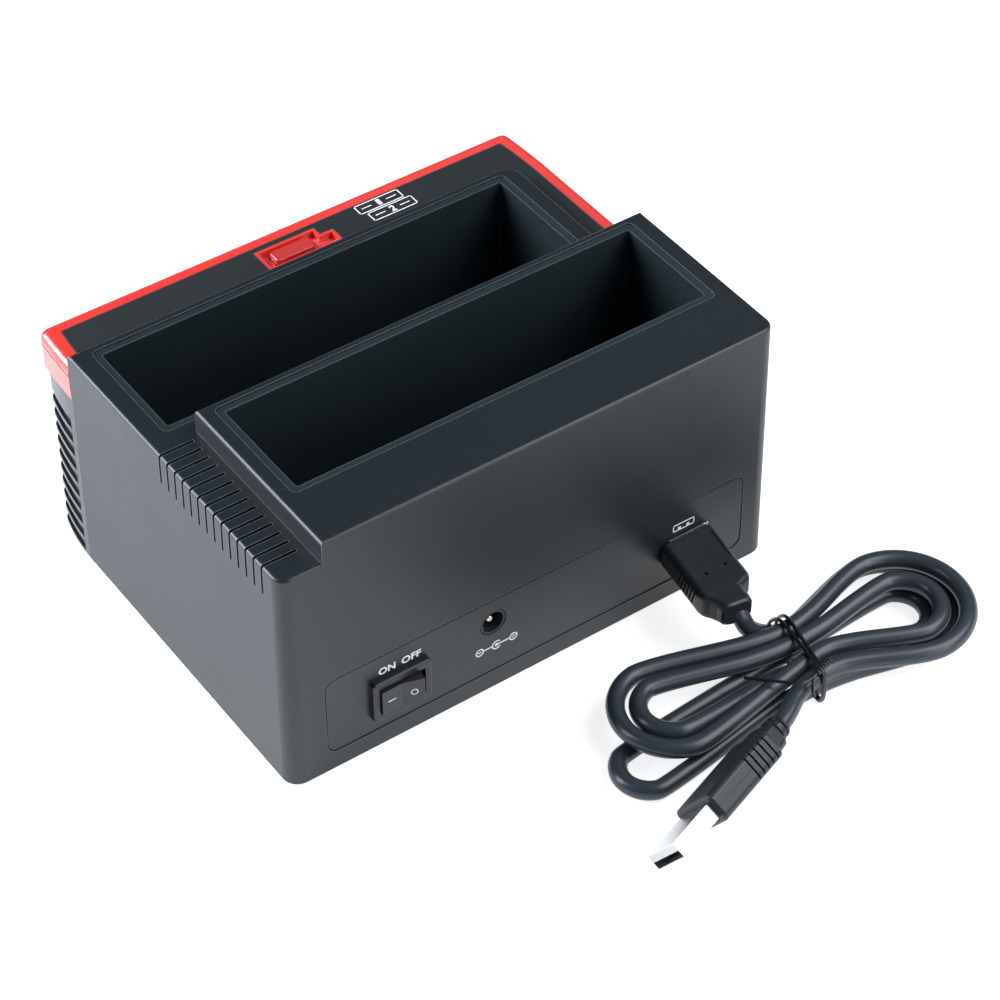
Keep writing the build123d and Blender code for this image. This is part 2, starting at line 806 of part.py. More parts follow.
# USB socket
shell_width = 13.2
shell_height = 5.8
shell_wall = 0.35
shell_length = 14.0
socket_tongue_width = 11.1
socket_tongue_thickness = 1.7
socket_tongue_length = 8.4
socket_block = 2.4
socket_back = 1.5
tongue_lift = 0.15
usb_mid_z = base_z + usb_z
socket_mouth = panel_y - plate_gap
socket_end = socket_mouth - shell_length
half_w = shell_width / 2
half_h = shell_height / 2
socket = span(usb_x - half_w, usb_x + half_w, socket_end, socket_mouth,
              usb_mid_z - half_h, usb_mid_z + half_h)
socket -= span(usb_x - half_w + shell_wall, usb_x + half_w - shell_wall, socket_end - overrun,
               socket_mouth + overrun, usb_mid_z - half_h + shell_wall, usb_mid_z + half_h - shell_wall)
save("usb_socket_shell", socket)
insert = span(usb_x - half_w + shell_wall, usb_x + half_w - shell_wall, socket_end - socket_back,
              socket_end + socket_block, usb_mid_z - half_h + shell_wall, usb_mid_z + half_h - shell_wall)
insert += span(usb_x - half_w, usb_x + half_w, socket_end - socket_back, socket_end, board_z,
               usb_mid_z + half_h)
insert += span(usb_x - half_w, usb_x + half_w, socket_end - socket_back, socket_end + shell_length * 0.7,
               board_z, usb_mid_z - half_h)
insert += span(usb_x - socket_tongue_width / 2, usb_x + socket_tongue_width / 2, socket_end,
               socket_end + socket_block + socket_tongue_length, usb_mid_z + tongue_lift,
               usb_mid_z + tongue_lift + socket_tongue_thickness)
save("usb_socket_tongue", insert)

# Main board and what is soldered to it
switch_notch_gap = 1.2


def make_board():
    board = span(-board_half_length, board_half_length, board_front, board_back,
                 board_low, board_z)
    board -= span(switch_x - switch_body_length / 2 - switch_notch_gap,
                  switch_x + switch_body_length / 2 + switch_notch_gap,
                  switch_back - switch_notch_gap, board_back + overrun, board_low - overrun,
                  board_z + overrun)
    for x, y in standoffs:
        board -= post(x, y, board_low - overrun, board_z + overrun, screw_radius + screw_gap)
    return board


save("main_board", make_board())
save("board_screws", Compound([
    Pos(x, y, board_z) * Rot(180, 0, 0) * screw(board_screw_length) for x, y in standoffs
]))


def quad_chip(x, y, body_size, legs):
    lead = body_size / 8
    body = span(x - body_size / 2, x + body_size / 2, y - body_size / 2, y + body_size / 2,
                board_z + chip_lead, board_z + chip_height)
    pitch = body_size / (legs + 1)
    for leg in range(legs):
        along = (leg - (legs - 1) / 2) * pitch
        reach = body_size / 2 + lead
        body += span(x + along - pitch / 4, x + along + pitch / 4, y - reach, y + reach,
                     board_z, board_z + chip_lead * 2)
        body += span(x - reach, x + reach, y + along - pitch / 4, y + along + pitch / 4,
                     board_z, board_z + chip_lead * 2)
    return body


chip_height = 1.5
chip_lead = 0.2
bridge_size = 10.0
clone_size = 7.0
chip_legs = 10
bridge_shares = (-0.314, 0.844)
clone_shares = (0.914, 0.248)
save("bridge_chip", quad_chip(*board_place(bridge_shares), bridge_size, chip_legs))
save("clone_chip", quad_chip(*board_place(clone_shares), clone_size, chip_legs))
capacitor_radius = 3.15
capacitor_height = 8.0
capacitor_shares = ((-0.921, -0.37), (-0.921, -0.817), (0.379, 0.865))
capacitor = Cylinder(capacitor_radius, capacitor_height, align=(Align.CENTER, Align.CENTER, Align.MIN))
capacitor = fillet(capacitor.faces().sort_by(Axis.Z)[-1].edges(), capacitor_radius / 8)
save("capacitors", Compound([
    Pos(*board_place(shares), board_z) * capacitor for shares in capacitor_shares
]))
crystal_length = 11.0
crystal_width = 4.6
crystal_height = 3.5
crystal_shares = (-0.086, 0.865)
crystal_x, crystal_y = board_place(crystal_shares)
crystal = rounded_span(crystal_x - crystal_length / 2, crystal_x + crystal_length / 2,
                       crystal_y - crystal_width / 2, crystal_y + crystal_width / 2,
                       board_z, board_z + crystal_height, crystal_width * 0.45)
save("crystal", crystal)
coil_size = 9.0
coil_height = 4.5
coil_shares = (0.921, 0.546)
coil_x, coil_y = board_place(coil_shares)
coil = rounded_span(coil_x - coil_size / 2, coil_x + coil_size / 2, coil_y - coil_size / 2,
                    coil_y + coil_size / 2, board_z, board_z + coil_height, coil_size / 6)
save("power_coil", coil)

# Cable: both plugs are alike
cable_radius = 2.5
plug_width = 16.0
plug_thickness = 8.0
plug_corner = 2.0
plug_edge = 0.8
plug_shell_width = 12.0
plug_shell_height = 4.5
plug_shell_wall = 0.3
plug_shell_bury = 2.0
plug_tongue_thickness = 1.9
grip_width = 0.9
grip_depth = 0.7
grip_pitch = 2.0
grip_count = 6
grip_from = 3.0


def plug_body(length, neck_length, neck_radius):
    """An overmould along +Y from its mouth at the origin, with grooves on its narrow sides."""
    body = span(-plug_width / 2, plug_width / 2, 0, length, -plug_thickness / 2, plug_thickness / 2)
    body = fillet(body.edges().filter_by(Axis.Y), plug_corner)
    body = fillet(body.faces().sort_by(Axis.Y)[-1].edges(), plug_edge)
    for groove in range(grip_count):
        y = length - grip_from - groove * grip_pitch
        for side in (-1, 1):
            x = side * plug_width / 2
            body -= span(x - grip_depth, x + grip_depth, y - grip_width / 2, y + grip_width / 2,
                         -plug_thickness, plug_thickness)
    neck = Cone(neck_radius, cable_radius + neck_wall, neck_length)
    body += Pos(0, length + neck_length / 2, 0) * Rot(-90, 0, 0) * neck
    half_x = plug_shell_width / 2
    half_z = plug_shell_height / 2
    return body - span(-half_x, half_x, -overrun, plug_shell_bury, -half_z, half_z)


neck_wall = 0.5


def plug_shell(reach):
    """The metal shell that stands out by reach from the overmould's mouth."""
    half_x = plug_shell_width / 2
    half_z = plug_shell_height / 2
    shell = span(-half_x, half_x, -reach, plug_shell_bury, -half_z, half_z)
    return shell - span(-half_x + plug_shell_wall, half_x - plug_shell_wall, -reach - overrun,
                        plug_shell_bury + overrun, -half_z + plug_shell_wall, half_z - plug_shell_wall)


def plug_tongue(reach, side):
    half_x = plug_shell_width / 2 - plug_shell_wall
    inner = plug_shell_height / 2 - plug_shell_wall
    low = inner - plug_tongue_thickness if side > 0 else -inner
    return span(-half_x, half_x, -reach, plug_shell_bury, low, low + plug_tongue_thickness)


near_yaw = 8.5
near_front = 1.3
near_length = 19.6
near_neck = 1.0
near_neck_radius = 3.6
near_reach = 11.3
near_x = -47.5
near_z = 17.2
near_place = Pos(near_x, panel_y + near_front, near_z) * Rot(0, 0, -near_yaw)
near_shell_place = Pos(usb_x, panel_y + near_front, usb_mid_z)
near_shell = near_shell_place * plug_shell(near_reach)
near_tongue = near_shell_place * plug_tongue(near_reach, -1)
near_plug = near_place * plug_body(near_length, near_neck, near_neck_radius)
near_envelope = near_shell_place * span(
    -plug_shell_width / 2, plug_shell_width / 2, -near_reach, plug_shell_bury + plug_shell_wall,
    -plug_shell_height / 2, plug_shell_height / 2)
save("near_plug", near_plug - near_envelope)
save("near_plug_shell", near_shell)
save("near_plug_tongue", near_tongue)

far_roll = -54.0
far_heading = math.degrees(math.atan2(0.337, 0.942))
far_x = 2.0
far_back = 70.8
far_y = rear_y + far_back
far_z = 8.95
far_length = 30.0
far_neck = 5.0
far_neck_radius = 3.8
far_reach = 15.5
far_place = Pos(far_x, far_y, far_z) * Rot(0, 0, far_heading + 90) * Rot(0, far_roll, 0)
save("far_plug", far_place * plug_body(far_length, far_neck, far_neck_radius))
save("far_plug_shell", far_place * plug_shell(far_reach))
save("far_plug_tongue", far_place * plug_tongue(far_reach, 1))

# The hank: loops laid the same way and drawn in at a tie. Local U runs along it, V away from the dock.
hank_x = -51.0
hank_back = 41.3
hank_y = rear_y + hank_back
hank_turned = -3.7
low_layer = 3.15
high_layer = 8.6
waist_far = 48.9
waist_near = -48.6
clear_least = 0.4
# Each turn: U, V, radius, side it bends to (1 left, -1 right) and its layer
hank_turns = (
    (-35.0, -4.1, 16.9, -1, low_layer),
    (0.0, waist_far, 42.4, 1, low_layer),
    (50.0, 8.6, 7.7, -1, low_layer),
    (0.0, waist_near, 42.8, 1, low_layer),
    (-34.6, -1.7, 8.2, -1, low_layer),
    (0.0, waist_far, 48.3, 1, low_layer),
    (36.4, -1.4, 8.6, -1, high_layer),
    (0.0, waist_near, 46.0, 1, high_layer),
    (-34.0, 1.0, 10.0, -1, high_layer),
    (-7.0, 28.6, 26.0, 1, high_layer),
    (36.4, -1.4, 14.4, -1, high_layer),
    (0.0, waist_near, 40.5, 1, high_layer),
    (-33.6, 0.3, 17.6, -1, high_layer),
    (-5.0, 32.9, 24.0, 1, high_layer),
)
hank_start = (-14.0, -14.2)
hank_leaving = 15.5


def hank_point(u, v, z):
    cosine = math.cos(math.radians(hank_turned))
    sine = math.sin(math.radians(hank_turned))
    return (hank_x + u * cosine - v * sine, hank_y + u * sine + v * cosine, z)


def tangent_run(one, two):
    """The straight run that leaves one turn and joins the next, with its heading in radians."""
    across, along = two[0] - one[0], two[1] - one[1]
    heading = math.atan2(along, across) - math.asin(
        (two[3] * two[2] - one[3] * one[2]) / math.hypot(across, along))
    return turn_place(one, heading), turn_place(two, heading), heading


def turn_place(turn, heading):
    u, v, radius, bend = turn[:4]
    return (u + bend * radius * math.sin(heading), v - bend * radius * math.cos(heading))


def climb(start, end, low, high):
    """Two equal arcs in an upright plane, level at both ends."""
    length = math.dist(start, end)
    rise = high - low
    half_turn = math.atan2(abs(rise), length)
    radius = (length ** 2 + rise ** 2) / (4 * abs(rise))
    reach = radius * math.sin(half_turn) / length
    step = math.copysign(radius * (1 - math.cos(half_turn)), rise)

    def place(share, z):
        return hank_point(start[0] + (end[0] - start[0]) * share,
                          start[1] + (end[1] - start[1]) * share, z)

    middle = place(0.5, (low + high) / 2)
    return [ThreePointArc(place(0, low), place(reach, low + step), middle),
            ThreePointArc(middle, place(1 - reach, high - step), place(1, high))]


def hank_path():
    runs = [tangent_run((*hank_start, 0, 1), hank_turns[0])]
    runs += [tangent_run(one, two) for one, two in zip(hank_turns, hank_turns[1:])]
    layers = [hank_turns[0][4]] + [turn[4] for turn in hank_turns]
    edges = []
    for index, turn in enumerate(hank_turns):
        start, end, heading = runs[index]
        low, high = layers[index], layers[index + 1]
        if low == high:
            edges.append(Line(hank_point(*start, low), hank_point(*end, high)))
        else:
            edges += climb(start, end, low, high)
        last = index + 1 == len(hank_turns)
        leaving = math.radians(hank_leaving) if last else runs[index + 1][2]
        bend = turn[3]
        turned = bend * ((bend * (leaving - heading)) % math.tau)
        pieces = 2 if abs(turned) > math.pi / 2 else 1
        for piece in range(pieces):
            at = [turn_place(turn, heading + turned * (piece + share) / pieces) for share in (0, 0.5, 1)]
            edges.append(ThreePointArc(*[hank_point(*place, high) for place in at]))
    return edges


def least_gap(edges, radius):
    """Least gap between two stretches of the tube that aren't neighbours along it."""
    places = []
    walked = 0
    for edge in edges:
        count = max(4, int(edge.length))
        for step in range(count):
            share = step / count
            places.append((walked + edge.length * share, tuple(edge @ share)))
        walked += edge.length
    apart = 6 * radius
    least = walked
    for index, (along, place) in enumerate(places):
        for other_along, other in places[index + 1:]:
            if other_along - along > apart and abs(other[0] - place[0]) < apart:
                least = min(least, math.dist(place, other))
    return least - 2 * radius, walked


def tube(path, radius):
    start = path @ 0
    return sweep(Plane(origin=start, z_dir=path % 0) * Circle(radius), path=path)


hank_edges = hank_path()
hank_wire = Wire([piece.edge() for piece in hank_edges])
hank = tube(hank_wire, cable_radius)
hank_gap, hank_length = least_gap(hank_edges, cable_radius)
print("hank least gap", round(hank_gap, 2), "over", clear_least, "length", round(hank_length, 1),
      "volume", round(hank.volume), "of", round(math.pi * cable_radius ** 2 * hank_length))
save("cable_hank", hank)


# The free stretches from each plug to the hank
def place_point(place, y):
    return tuple((place * Pos(0, y, 0)).position)


def lead_path(points, radii):
    return FilletPolyline(*points, radius=radii)


hank_first = hank_wire @ 0
hank_first_way = hank_wire % 0
hank_last = hank_wire @ 1
hank_last_way = hank_wire % 1
near_run = 6.3
near_dive = (-47.4, 27.4, 7.2)
near_landing = 9.0
near_end = place_point(near_place, near_length + near_neck)
near_next = place_point(near_place, near_length + near_neck + near_run)
near_points = (near_end, near_next, (near_dive[0], rear_y + near_dive[1], near_dive[2]),
               tuple(hank_first - hank_first_way * near_landing), tuple(hank_first))
near_radii = (5.1, 8.5, 9.0)
far_run = 5.0
far_leaving = 6.0
far_end = place_point(far_place, far_length + far_neck)
far_next = place_point(far_place, far_length + far_neck + far_run)
far_points = (tuple(hank_last), tuple(hank_last + hank_last_way * far_leaving), far_next, far_end)
far_radii = (10.0, 10.0)
for name, points, radii in (("near_lead", near_points, near_radii), ("far_lead", far_points, far_radii)):
    path = lead_path(points, list(radii))
    lead = tube(path, cable_radius)
    print(name, "radii", radii, "length", round(path.length, 1), "volume", round(lead.volume),
          "of", round(math.pi * cable_radius ** 2 * path.length))
    save(name, lead)

# The wire tie round the waist
tie_u = -3.0
tie_width = 2.2
tie_thickness = 0.5
tie_near = -15.3
tie_far = 11.9
tie_low = 0.05
tie_high = 11.4
tie_corner = 2.9
tail_radius = 0.9
tail_bend = 3.0
# The twisted tail in the hank's own U and V, from the band on
tail_route = ((0, 9.0), (5.0, 10.5), (20.0, 1.2))


def tie_ring(grow):
    height = tie_high - tie_low - tie_thickness
    width = tie_far - tie_near
    outline = Rectangle(width + 2 * grow, height + 2 * grow)
    outline = fillet(outline.vertices(), tie_corner + grow)
    ring = extrude(outline, amount=tie_width / 2, both=True)
    upright = Rot(0, 0, 90) * Rot(90, 0, 0) * ring
    return Pos(0, (tie_near + tie_far) / 2, (tie_low + tie_thickness + tie_high) / 2) * upright


tie_place = Pos(hank_x, hank_y, 0) * Rot(0, 0, hank_turned)
tie = Pos(tie_u, 0, 0) * (tie_ring(tie_thickness) - tie_ring(0))
tail_z = tie_high + tie_thickness + tail_radius / 2
tail = FilletPolyline(*[(tie_u + u, v, tail_z) for u, v in tail_route], radius=[tail_bend])
tie += tube(tail, tail_radius)
save("hank_tie", tie_place * tie)
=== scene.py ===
import json
import math
import bmesh
import bpy
from mathutils import Matrix, Quaternion, Vector


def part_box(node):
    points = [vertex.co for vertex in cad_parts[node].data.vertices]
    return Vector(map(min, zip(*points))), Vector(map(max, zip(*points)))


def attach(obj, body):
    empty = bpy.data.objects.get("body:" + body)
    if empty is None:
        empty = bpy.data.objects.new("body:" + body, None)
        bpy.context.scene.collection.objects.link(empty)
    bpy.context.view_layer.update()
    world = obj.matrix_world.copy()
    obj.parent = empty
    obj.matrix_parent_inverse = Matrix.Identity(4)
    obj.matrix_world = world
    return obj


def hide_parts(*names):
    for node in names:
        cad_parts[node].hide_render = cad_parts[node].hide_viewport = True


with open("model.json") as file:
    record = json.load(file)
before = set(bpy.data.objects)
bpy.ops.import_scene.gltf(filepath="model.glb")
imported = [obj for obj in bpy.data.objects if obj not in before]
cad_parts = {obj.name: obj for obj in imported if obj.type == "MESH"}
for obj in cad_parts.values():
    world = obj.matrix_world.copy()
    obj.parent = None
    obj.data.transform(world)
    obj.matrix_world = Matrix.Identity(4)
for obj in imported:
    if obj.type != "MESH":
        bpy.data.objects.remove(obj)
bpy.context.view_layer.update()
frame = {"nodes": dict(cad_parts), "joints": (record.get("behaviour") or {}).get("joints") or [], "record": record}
nodes = frame["nodes"]
mm = 0.001
print("stage: frame loaded,", len(nodes), "nodes")


def addObject(name, data):
    made = bpy.data.objects.new(name, data)
    bpy.context.scene.collection.objects.link(made)
    return made


# Camera at the photograph's angle
camera = {
    "eye": (0.3275, 0.5090, 0.5875),
    "azimuth": 145.01,
    "elevation": 43.46,
    "roll": -0.22,
    "lens": 112.5,
    "sensor": 36.0,
    "nearest": 0.01,
}


def makeCamera(values):
    turn = math.radians(values["azimuth"])
    rise = math.radians(values["elevation"])
    towards = Vector((-math.sin(turn) * math.cos(rise), math.cos(turn) * math.cos(rise), -math.sin(rise)))
    level = towards.to_track_quat("-Z", "Y")
    data = bpy.data.cameras.new("photoCamera")
    data.lens = values["lens"]
    data.sensor_width = values["sensor"]
    data.clip_start = values["nearest"]
    thing = addObject("photoCamera", data)
    thing.rotation_mode = "QUATERNION"
    thing.rotation_quaternion = level @ Quaternion((0, 0, 1), math.radians(values["roll"]))
    thing.location = values["eye"]
    bpy.context.scene.camera = thing


makeCamera(camera)
print("stage: camera")

# Cable: one line from the near plug through the tied hank to the far plug
cable = {
    "diameter": 5.0 * mm,
    "length": 0.837,
    "sides": 6,
    "nearRoute": [(-0.04446, 0.07914, 0.0172), (-0.04352, 0.08537, 0.0172), (-0.0474, 0.08517, 0.0072),
                  (-0.05729, 0.08845, 0.00315)],
    "farRoute": [(-0.04896, 0.10873, 0.0086), (-0.04309, 0.10996, 0.0086), (-0.03566, 0.1151, 0.00895),
                 (-0.03095, 0.11678, 0.00895)],
}

# The hank's own U runs along it and V away from the dock
hank = {
    "centre": (-0.051, 0.09907),
    "turned": -3.7,
    "low": 3.15 * mm,
    "high": 8.6 * mm,
    "start": (-14.0, -14.2),
    "leaving": 15.5,
    "pointsPerTurn": 12,
}
# Each turn: U, V and radius in mm, the side it bends to (1 left, -1 right), its layer
hankTurns = [
    (-35.0, -4.1, 16.9, -1, "low"),
    (0.0, 48.9, 42.4, 1, "low"),
    (50.0, 8.6, 7.7, -1, "low"),
    (0.0, -48.6, 42.8, 1, "low"),
    (-34.6, -1.7, 8.2, -1, "low"),
    (0.0, 48.9, 48.3, 1, "low"),
    (36.4, -1.4, 8.6, -1, "high"),
    (0.0, -48.6, 46.0, 1, "high"),
    (-34.0, 1.0, 10.0, -1, "high"),
    (-7.0, 28.6, 26.0, 1, "high"),
    (36.4, -1.4, 14.4, -1, "high"),
    (0.0, -48.6, 40.5, 1, "high"),
    (-33.6, 0.3, 17.6, -1, "high"),
    (-5.0, 32.9, 24.0, 1, "high"),
]


def hankPoint(u, v, z):
    turn = math.radians(hank["turned"])
    x = hank["centre"][0] + mm * (u * math.cos(turn) - v * math.sin(turn))
    y = hank["centre"][1] + mm * (u * math.sin(turn) + v * math.cos(turn))
    return (x, y, z)


def runHeading(one, two):
    across, along = two[0] - one[0], two[1] - one[1]
    aside = (two[3] * two[2] - one[3] * one[2]) / math.hypot(across, along)
    return math.atan2(along, across) - math.asin(aside)


# Control points stand on the corners of the polygon round each turn
def hankRoute():
    stops = [(*hank["start"], 0, 1, "low"), *hankTurns]
    headings = [runHeading(one, two) for one, two in zip(stops, stops[1:])]
    headings.append(math.radians(hank["leaving"]))
    points = []
    for (u, v, radius, bend, layer), arriving, leaving in zip(hankTurns, headings, headings[1:]):
        turned = (bend * (leaving - arriving)) % math.tau
        count = max(1, math.ceil(turned * hank["pointsPerTurn"] / math.tau))
        step = turned / count
        reach = radius / math.cos(step / 2)
        for corner in range(count):
            heading = arriving + bend * step * (corner + 0.5)
            points.append(hankPoint(u + bend * reach * math.sin(heading),
                                    v - bend * reach * math.cos(heading), hank[layer]))
    return points


def splineCurve(name, points, radius, sides, cyclic=False):
    data = bpy.data.curves.new(name, "CURVE")
    data.dimensions = "3D"
    spline = data.splines.new("NURBS")
    spline.points.add(len(points) - 1)
    for knot, point in zip(spline.points, points):
        knot.co = (*point, 1)
    spline.use_cyclic_u = cyclic
    spline.order_u = 3
    spline.use_endpoint_u = not cyclic
    spline.resolution_u = 8
    data.bevel_depth = radius
    data.bevel_resolution = sides
    data.use_fill_caps = True
    return addObject(name, data)


hankStart = hankPoint(*hank["start"], hank["low"])
route = [*cable["nearRoute"], hankStart, *hankRoute(), *cable["farRoute"]]
usbCable = splineCurve("usbCable", route, cable["diameter"] / 2, cable["sides"])
print("stage: cable,", len(route), "points")


# Node groups, first for the shaders that the finishes share
def newGroup(name, inputs, outputs, kind="ShaderNodeTree"):
    group = bpy.data.node_groups.new(name, kind)
    for label, sort, value in inputs:
        socket = group.interface.new_socket(name=label, in_out="INPUT", socket_type=sort)
        if value is not None:
            socket.default_value = value
    for label, sort in outputs:
        group.interface.new_socket(name=label, in_out="OUTPUT", socket_type=sort)
    return group, group.nodes.new("NodeGroupInput"), group.nodes.new("NodeGroupOutput")


def addNode(tree, kind, values=None, **settings):
    made = tree.nodes.new(kind)
    for name, value in settings.items():
        setattr(made, name, value)
    for name, value in (values or {}).items():
        made.inputs[name].default_value = value
    return made


def calculate(tree, operation, one, two=None):
    made = tree.nodes.new("ShaderNodeMath")
    made.operation = operation
    for socket, value in zip(made.inputs, (one, two)):
        if value is None:
            continue
        if isinstance(value, (int, float)):
            socket.default_value = value
        else:
            tree.links.new(value, socket)
    return made.outputs[0]


def mixColors(tree, share, one, two):
    made = addNode(tree, "ShaderNodeMix", data_type="RGBA")
    sockets = {socket.identifier: socket for socket in (*made.inputs, *made.outputs)}
    tree.links.new(share, sockets["Factor_Float"])
    tree.links.new(one, sockets["A_Color"])
    tree.links.new(two, sockets["B_Color"])
    return sockets["Result_Color"]


# Moulded surface: cloudy tone, fine texture and a little dust
moulded = {
    "patch": {"Detail": 4.0, "Roughness": 0.6},
    "grain": {"Detail": 2.0, "Roughness": 0.5},
    "specksPerPatch": 14.0,
    "speckSize": 0.07,
}


def makeMouldedGroup(values):
    group, entry, leave = newGroup("mouldedSurface", [
        ("Vector", "NodeSocketVector", None),
        ("Color", "NodeSocketColor", (0.02, 0.02, 0.02, 1)),
        ("Shade", "NodeSocketColor", (0.03, 0.03, 0.03, 1)),
        ("Dust", "NodeSocketColor", (0.2, 0.2, 0.2, 1)),
        ("Dust Amount", "NodeSocketFloat", 0.0),
        ("Patch Scale", "NodeSocketFloat", 40.0),
        ("Grain Scale", "NodeSocketFloat", 2400.0),
        ("Roughness", "NodeSocketFloat", 0.5),
        ("Roughness Spread", "NodeSocketFloat", 0.1),
    ], [("Color", "NodeSocketColor"), ("Roughness", "NodeSocketFloat"), ("Height", "NodeSocketFloat")])
    link = group.links.new
    patch = addNode(group, "ShaderNodeTexNoise", values["patch"])
    grain = addNode(group, "ShaderNodeTexNoise", values["grain"])
    specks = addNode(group, "ShaderNodeTexVoronoi", feature="F1")
    for texture, scale in ((patch, "Patch Scale"), (grain, "Grain Scale")):
        link(entry.outputs["Vector"], texture.inputs["Vector"])
        link(entry.outputs[scale], texture.inputs["Scale"])
    link(entry.outputs["Vector"], specks.inputs["Vector"])
    many = calculate(group, "MULTIPLY", entry.outputs["Patch Scale"], values["specksPerPatch"])
    link(many, specks.inputs["Scale"])
    tone = mixColors(group, patch.outputs["Fac"], entry.outputs["Color"], entry.outputs["Shade"])
    mote = calculate(group, "LESS_THAN", specks.outputs["Distance"], values["speckSize"])
    dusty = calculate(group, "MULTIPLY", mote, entry.outputs["Dust Amount"])
    link(mixColors(group, dusty, tone, entry.outputs["Dust"]), leave.inputs["Color"])
    swing = calculate(group, "SUBTRACT", patch.outputs["Fac"], 0.5)
    swing = calculate(group, "MULTIPLY", swing, entry.outputs["Roughness Spread"])
    link(calculate(group, "ADD", entry.outputs["Roughness"], swing), leave.inputs["Roughness"])
    link(grain.outputs["Fac"], leave.inputs["Height"])
    return group


# Drawn or rolled metal: fine lines along one direction
rolled = {
    "stretch": {"Scale": (1.0, 0.06, 1.0)},
    "lines": {"Detail": 3.0, "Roughness": 0.7},
    "stains": {"Scale": 160.0, "Detail": 3.0},
    "tarnished": 0.45,
}


def makeMetalGroup(values):
    group, entry, leave = newGroup("rolledMetal", [
        ("Vector", "NodeSocketVector", None),
        ("Color", "NodeSocketColor", (0.7, 0.7, 0.7, 1)),
        ("Tarnish", "NodeSocketColor", (0.45, 0.43, 0.4, 1)),
        ("Line Scale", "NodeSocketFloat", 900.0),
        ("Roughness", "NodeSocketFloat", 0.25),
        ("Roughness Spread", "NodeSocketFloat", 0.08),
    ], [("Color", "NodeSocketColor"), ("Roughness", "NodeSocketFloat"), ("Height", "NodeSocketFloat")])
    link = group.links.new
    stretch = addNode(group, "ShaderNodeMapping", values["stretch"])
    lines = addNode(group, "ShaderNodeTexNoise", values["lines"])
    stains = addNode(group, "ShaderNodeTexNoise", values["stains"])
    link(entry.outputs["Vector"], stretch.inputs["Vector"])
    link(stretch.outputs["Vector"], lines.inputs["Vector"])
    link(entry.outputs["Vector"], stains.inputs["Vector"])
    link(entry.outputs["Line Scale"], lines.inputs["Scale"])
    old = calculate(group, "MULTIPLY", stains.outputs["Fac"], values["tarnished"])
    link(mixColors(group, old, entry.outputs["Color"], entry.outputs["Tarnish"]), leave.inputs["Color"])
    swing = calculate(group, "SUBTRACT", lines.outputs["Fac"], 0.5)
    swing = calculate(group, "MULTIPLY", swing, entry.outputs["Roughness Spread"])
    link(calculate(group, "ADD", entry.outputs["Roughness"], swing), leave.inputs["Roughness"])
    link(lines.outputs["Fac"], leave.inputs["Height"])
    return group


# Circuit board: copper runs and pads under the mask
tracks = {
    "cells": {"Randomness": 0.35},
    "spacing": 0.22,
    "gap": 0.13,
}


def makeBoardGroup(values):
    group, entry, leave = newGroup("boardTracks", [
        ("Vector", "NodeSocketVector", None),
        ("Mask", "NodeSocketColor", (0.01, 0.1, 0.03, 1)),
        ("Track", "NodeSocketColor", (0.03, 0.2, 0.06, 1)),
        ("Cell Scale", "NodeSocketFloat", 260.0),
    ], [("Color", "NodeSocketColor"), ("Height", "NodeSocketFloat")])
    link = group.links.new
    cells = addNode(group, "ShaderNodeTexVoronoi", values["cells"], feature="F1", distance="MANHATTAN")
    link(entry.outputs["Vector"], cells.inputs["Vector"])
    link(entry.outputs["Cell Scale"], cells.inputs["Scale"])
    ring = calculate(group, "PINGPONG", cells.outputs["Distance"], values["spacing"])
    raised = calculate(group, "GREATER_THAN", ring, values["gap"])
    link(mixColors(group, raised, entry.outputs["Mask"], entry.outputs["Track"]), leave.inputs["Color"])
    link(raised, leave.inputs["Height"])
    return group


# Painted edge highlight: a pale line painted where a rounded normal leaves the face's own, standing in for light
# caught along the edges
edgeHighlightLook = {
    "radius": 0.4 * mm,
    "samples": 4,
    "gain": 9.0,
}


def makeEdgeHighlightGroup(values):
    group, entry, leave = newGroup("paintedEdgeHighlights", [
        ("Color", "NodeSocketColor", (0.02, 0.02, 0.02, 1)),
        ("Highlight Color", "NodeSocketColor", (0.16, 0.185, 0.21, 1)),
        ("Amount", "NodeSocketFloat", 0.6),
    ], [("Color", "NodeSocketColor")])
    link = group.links.new
    rounded = addNode(group, "ShaderNodeBevel", {"Radius": values["radius"]}, samples=values["samples"])
    face = addNode(group, "ShaderNodeNewGeometry")
    match = addNode(group, "ShaderNodeVectorMath", operation="DOT_PRODUCT")
    link(rounded.outputs["Normal"], match.inputs[0])
    link(face.outputs["Normal"], match.inputs[1])
    bent = calculate(group, "SUBTRACT", 1.0, match.outputs["Value"])
    strong = calculate(group, "MULTIPLY", bent, values["gain"])
    full = calculate(group, "MINIMUM", strong, 1.0)
    shown = calculate(group, "MULTIPLY", full, entry.outputs["Amount"])
    # mixes the painted highlight colour into the base colour along the edges
    tone = mixColors(group, shown, entry.outputs["Color"], entry.outputs["Highlight Color"])
    link(tone, leave.inputs["Color"])
    return group


mouldedGroup = makeMouldedGroup(moulded)
edgeHighlightGroup = makeEdgeHighlightGroup(edgeHighlightLook)
metalGroup = makeMetalGroup(rolled)
boardGroup = makeBoardGroup(tracks)
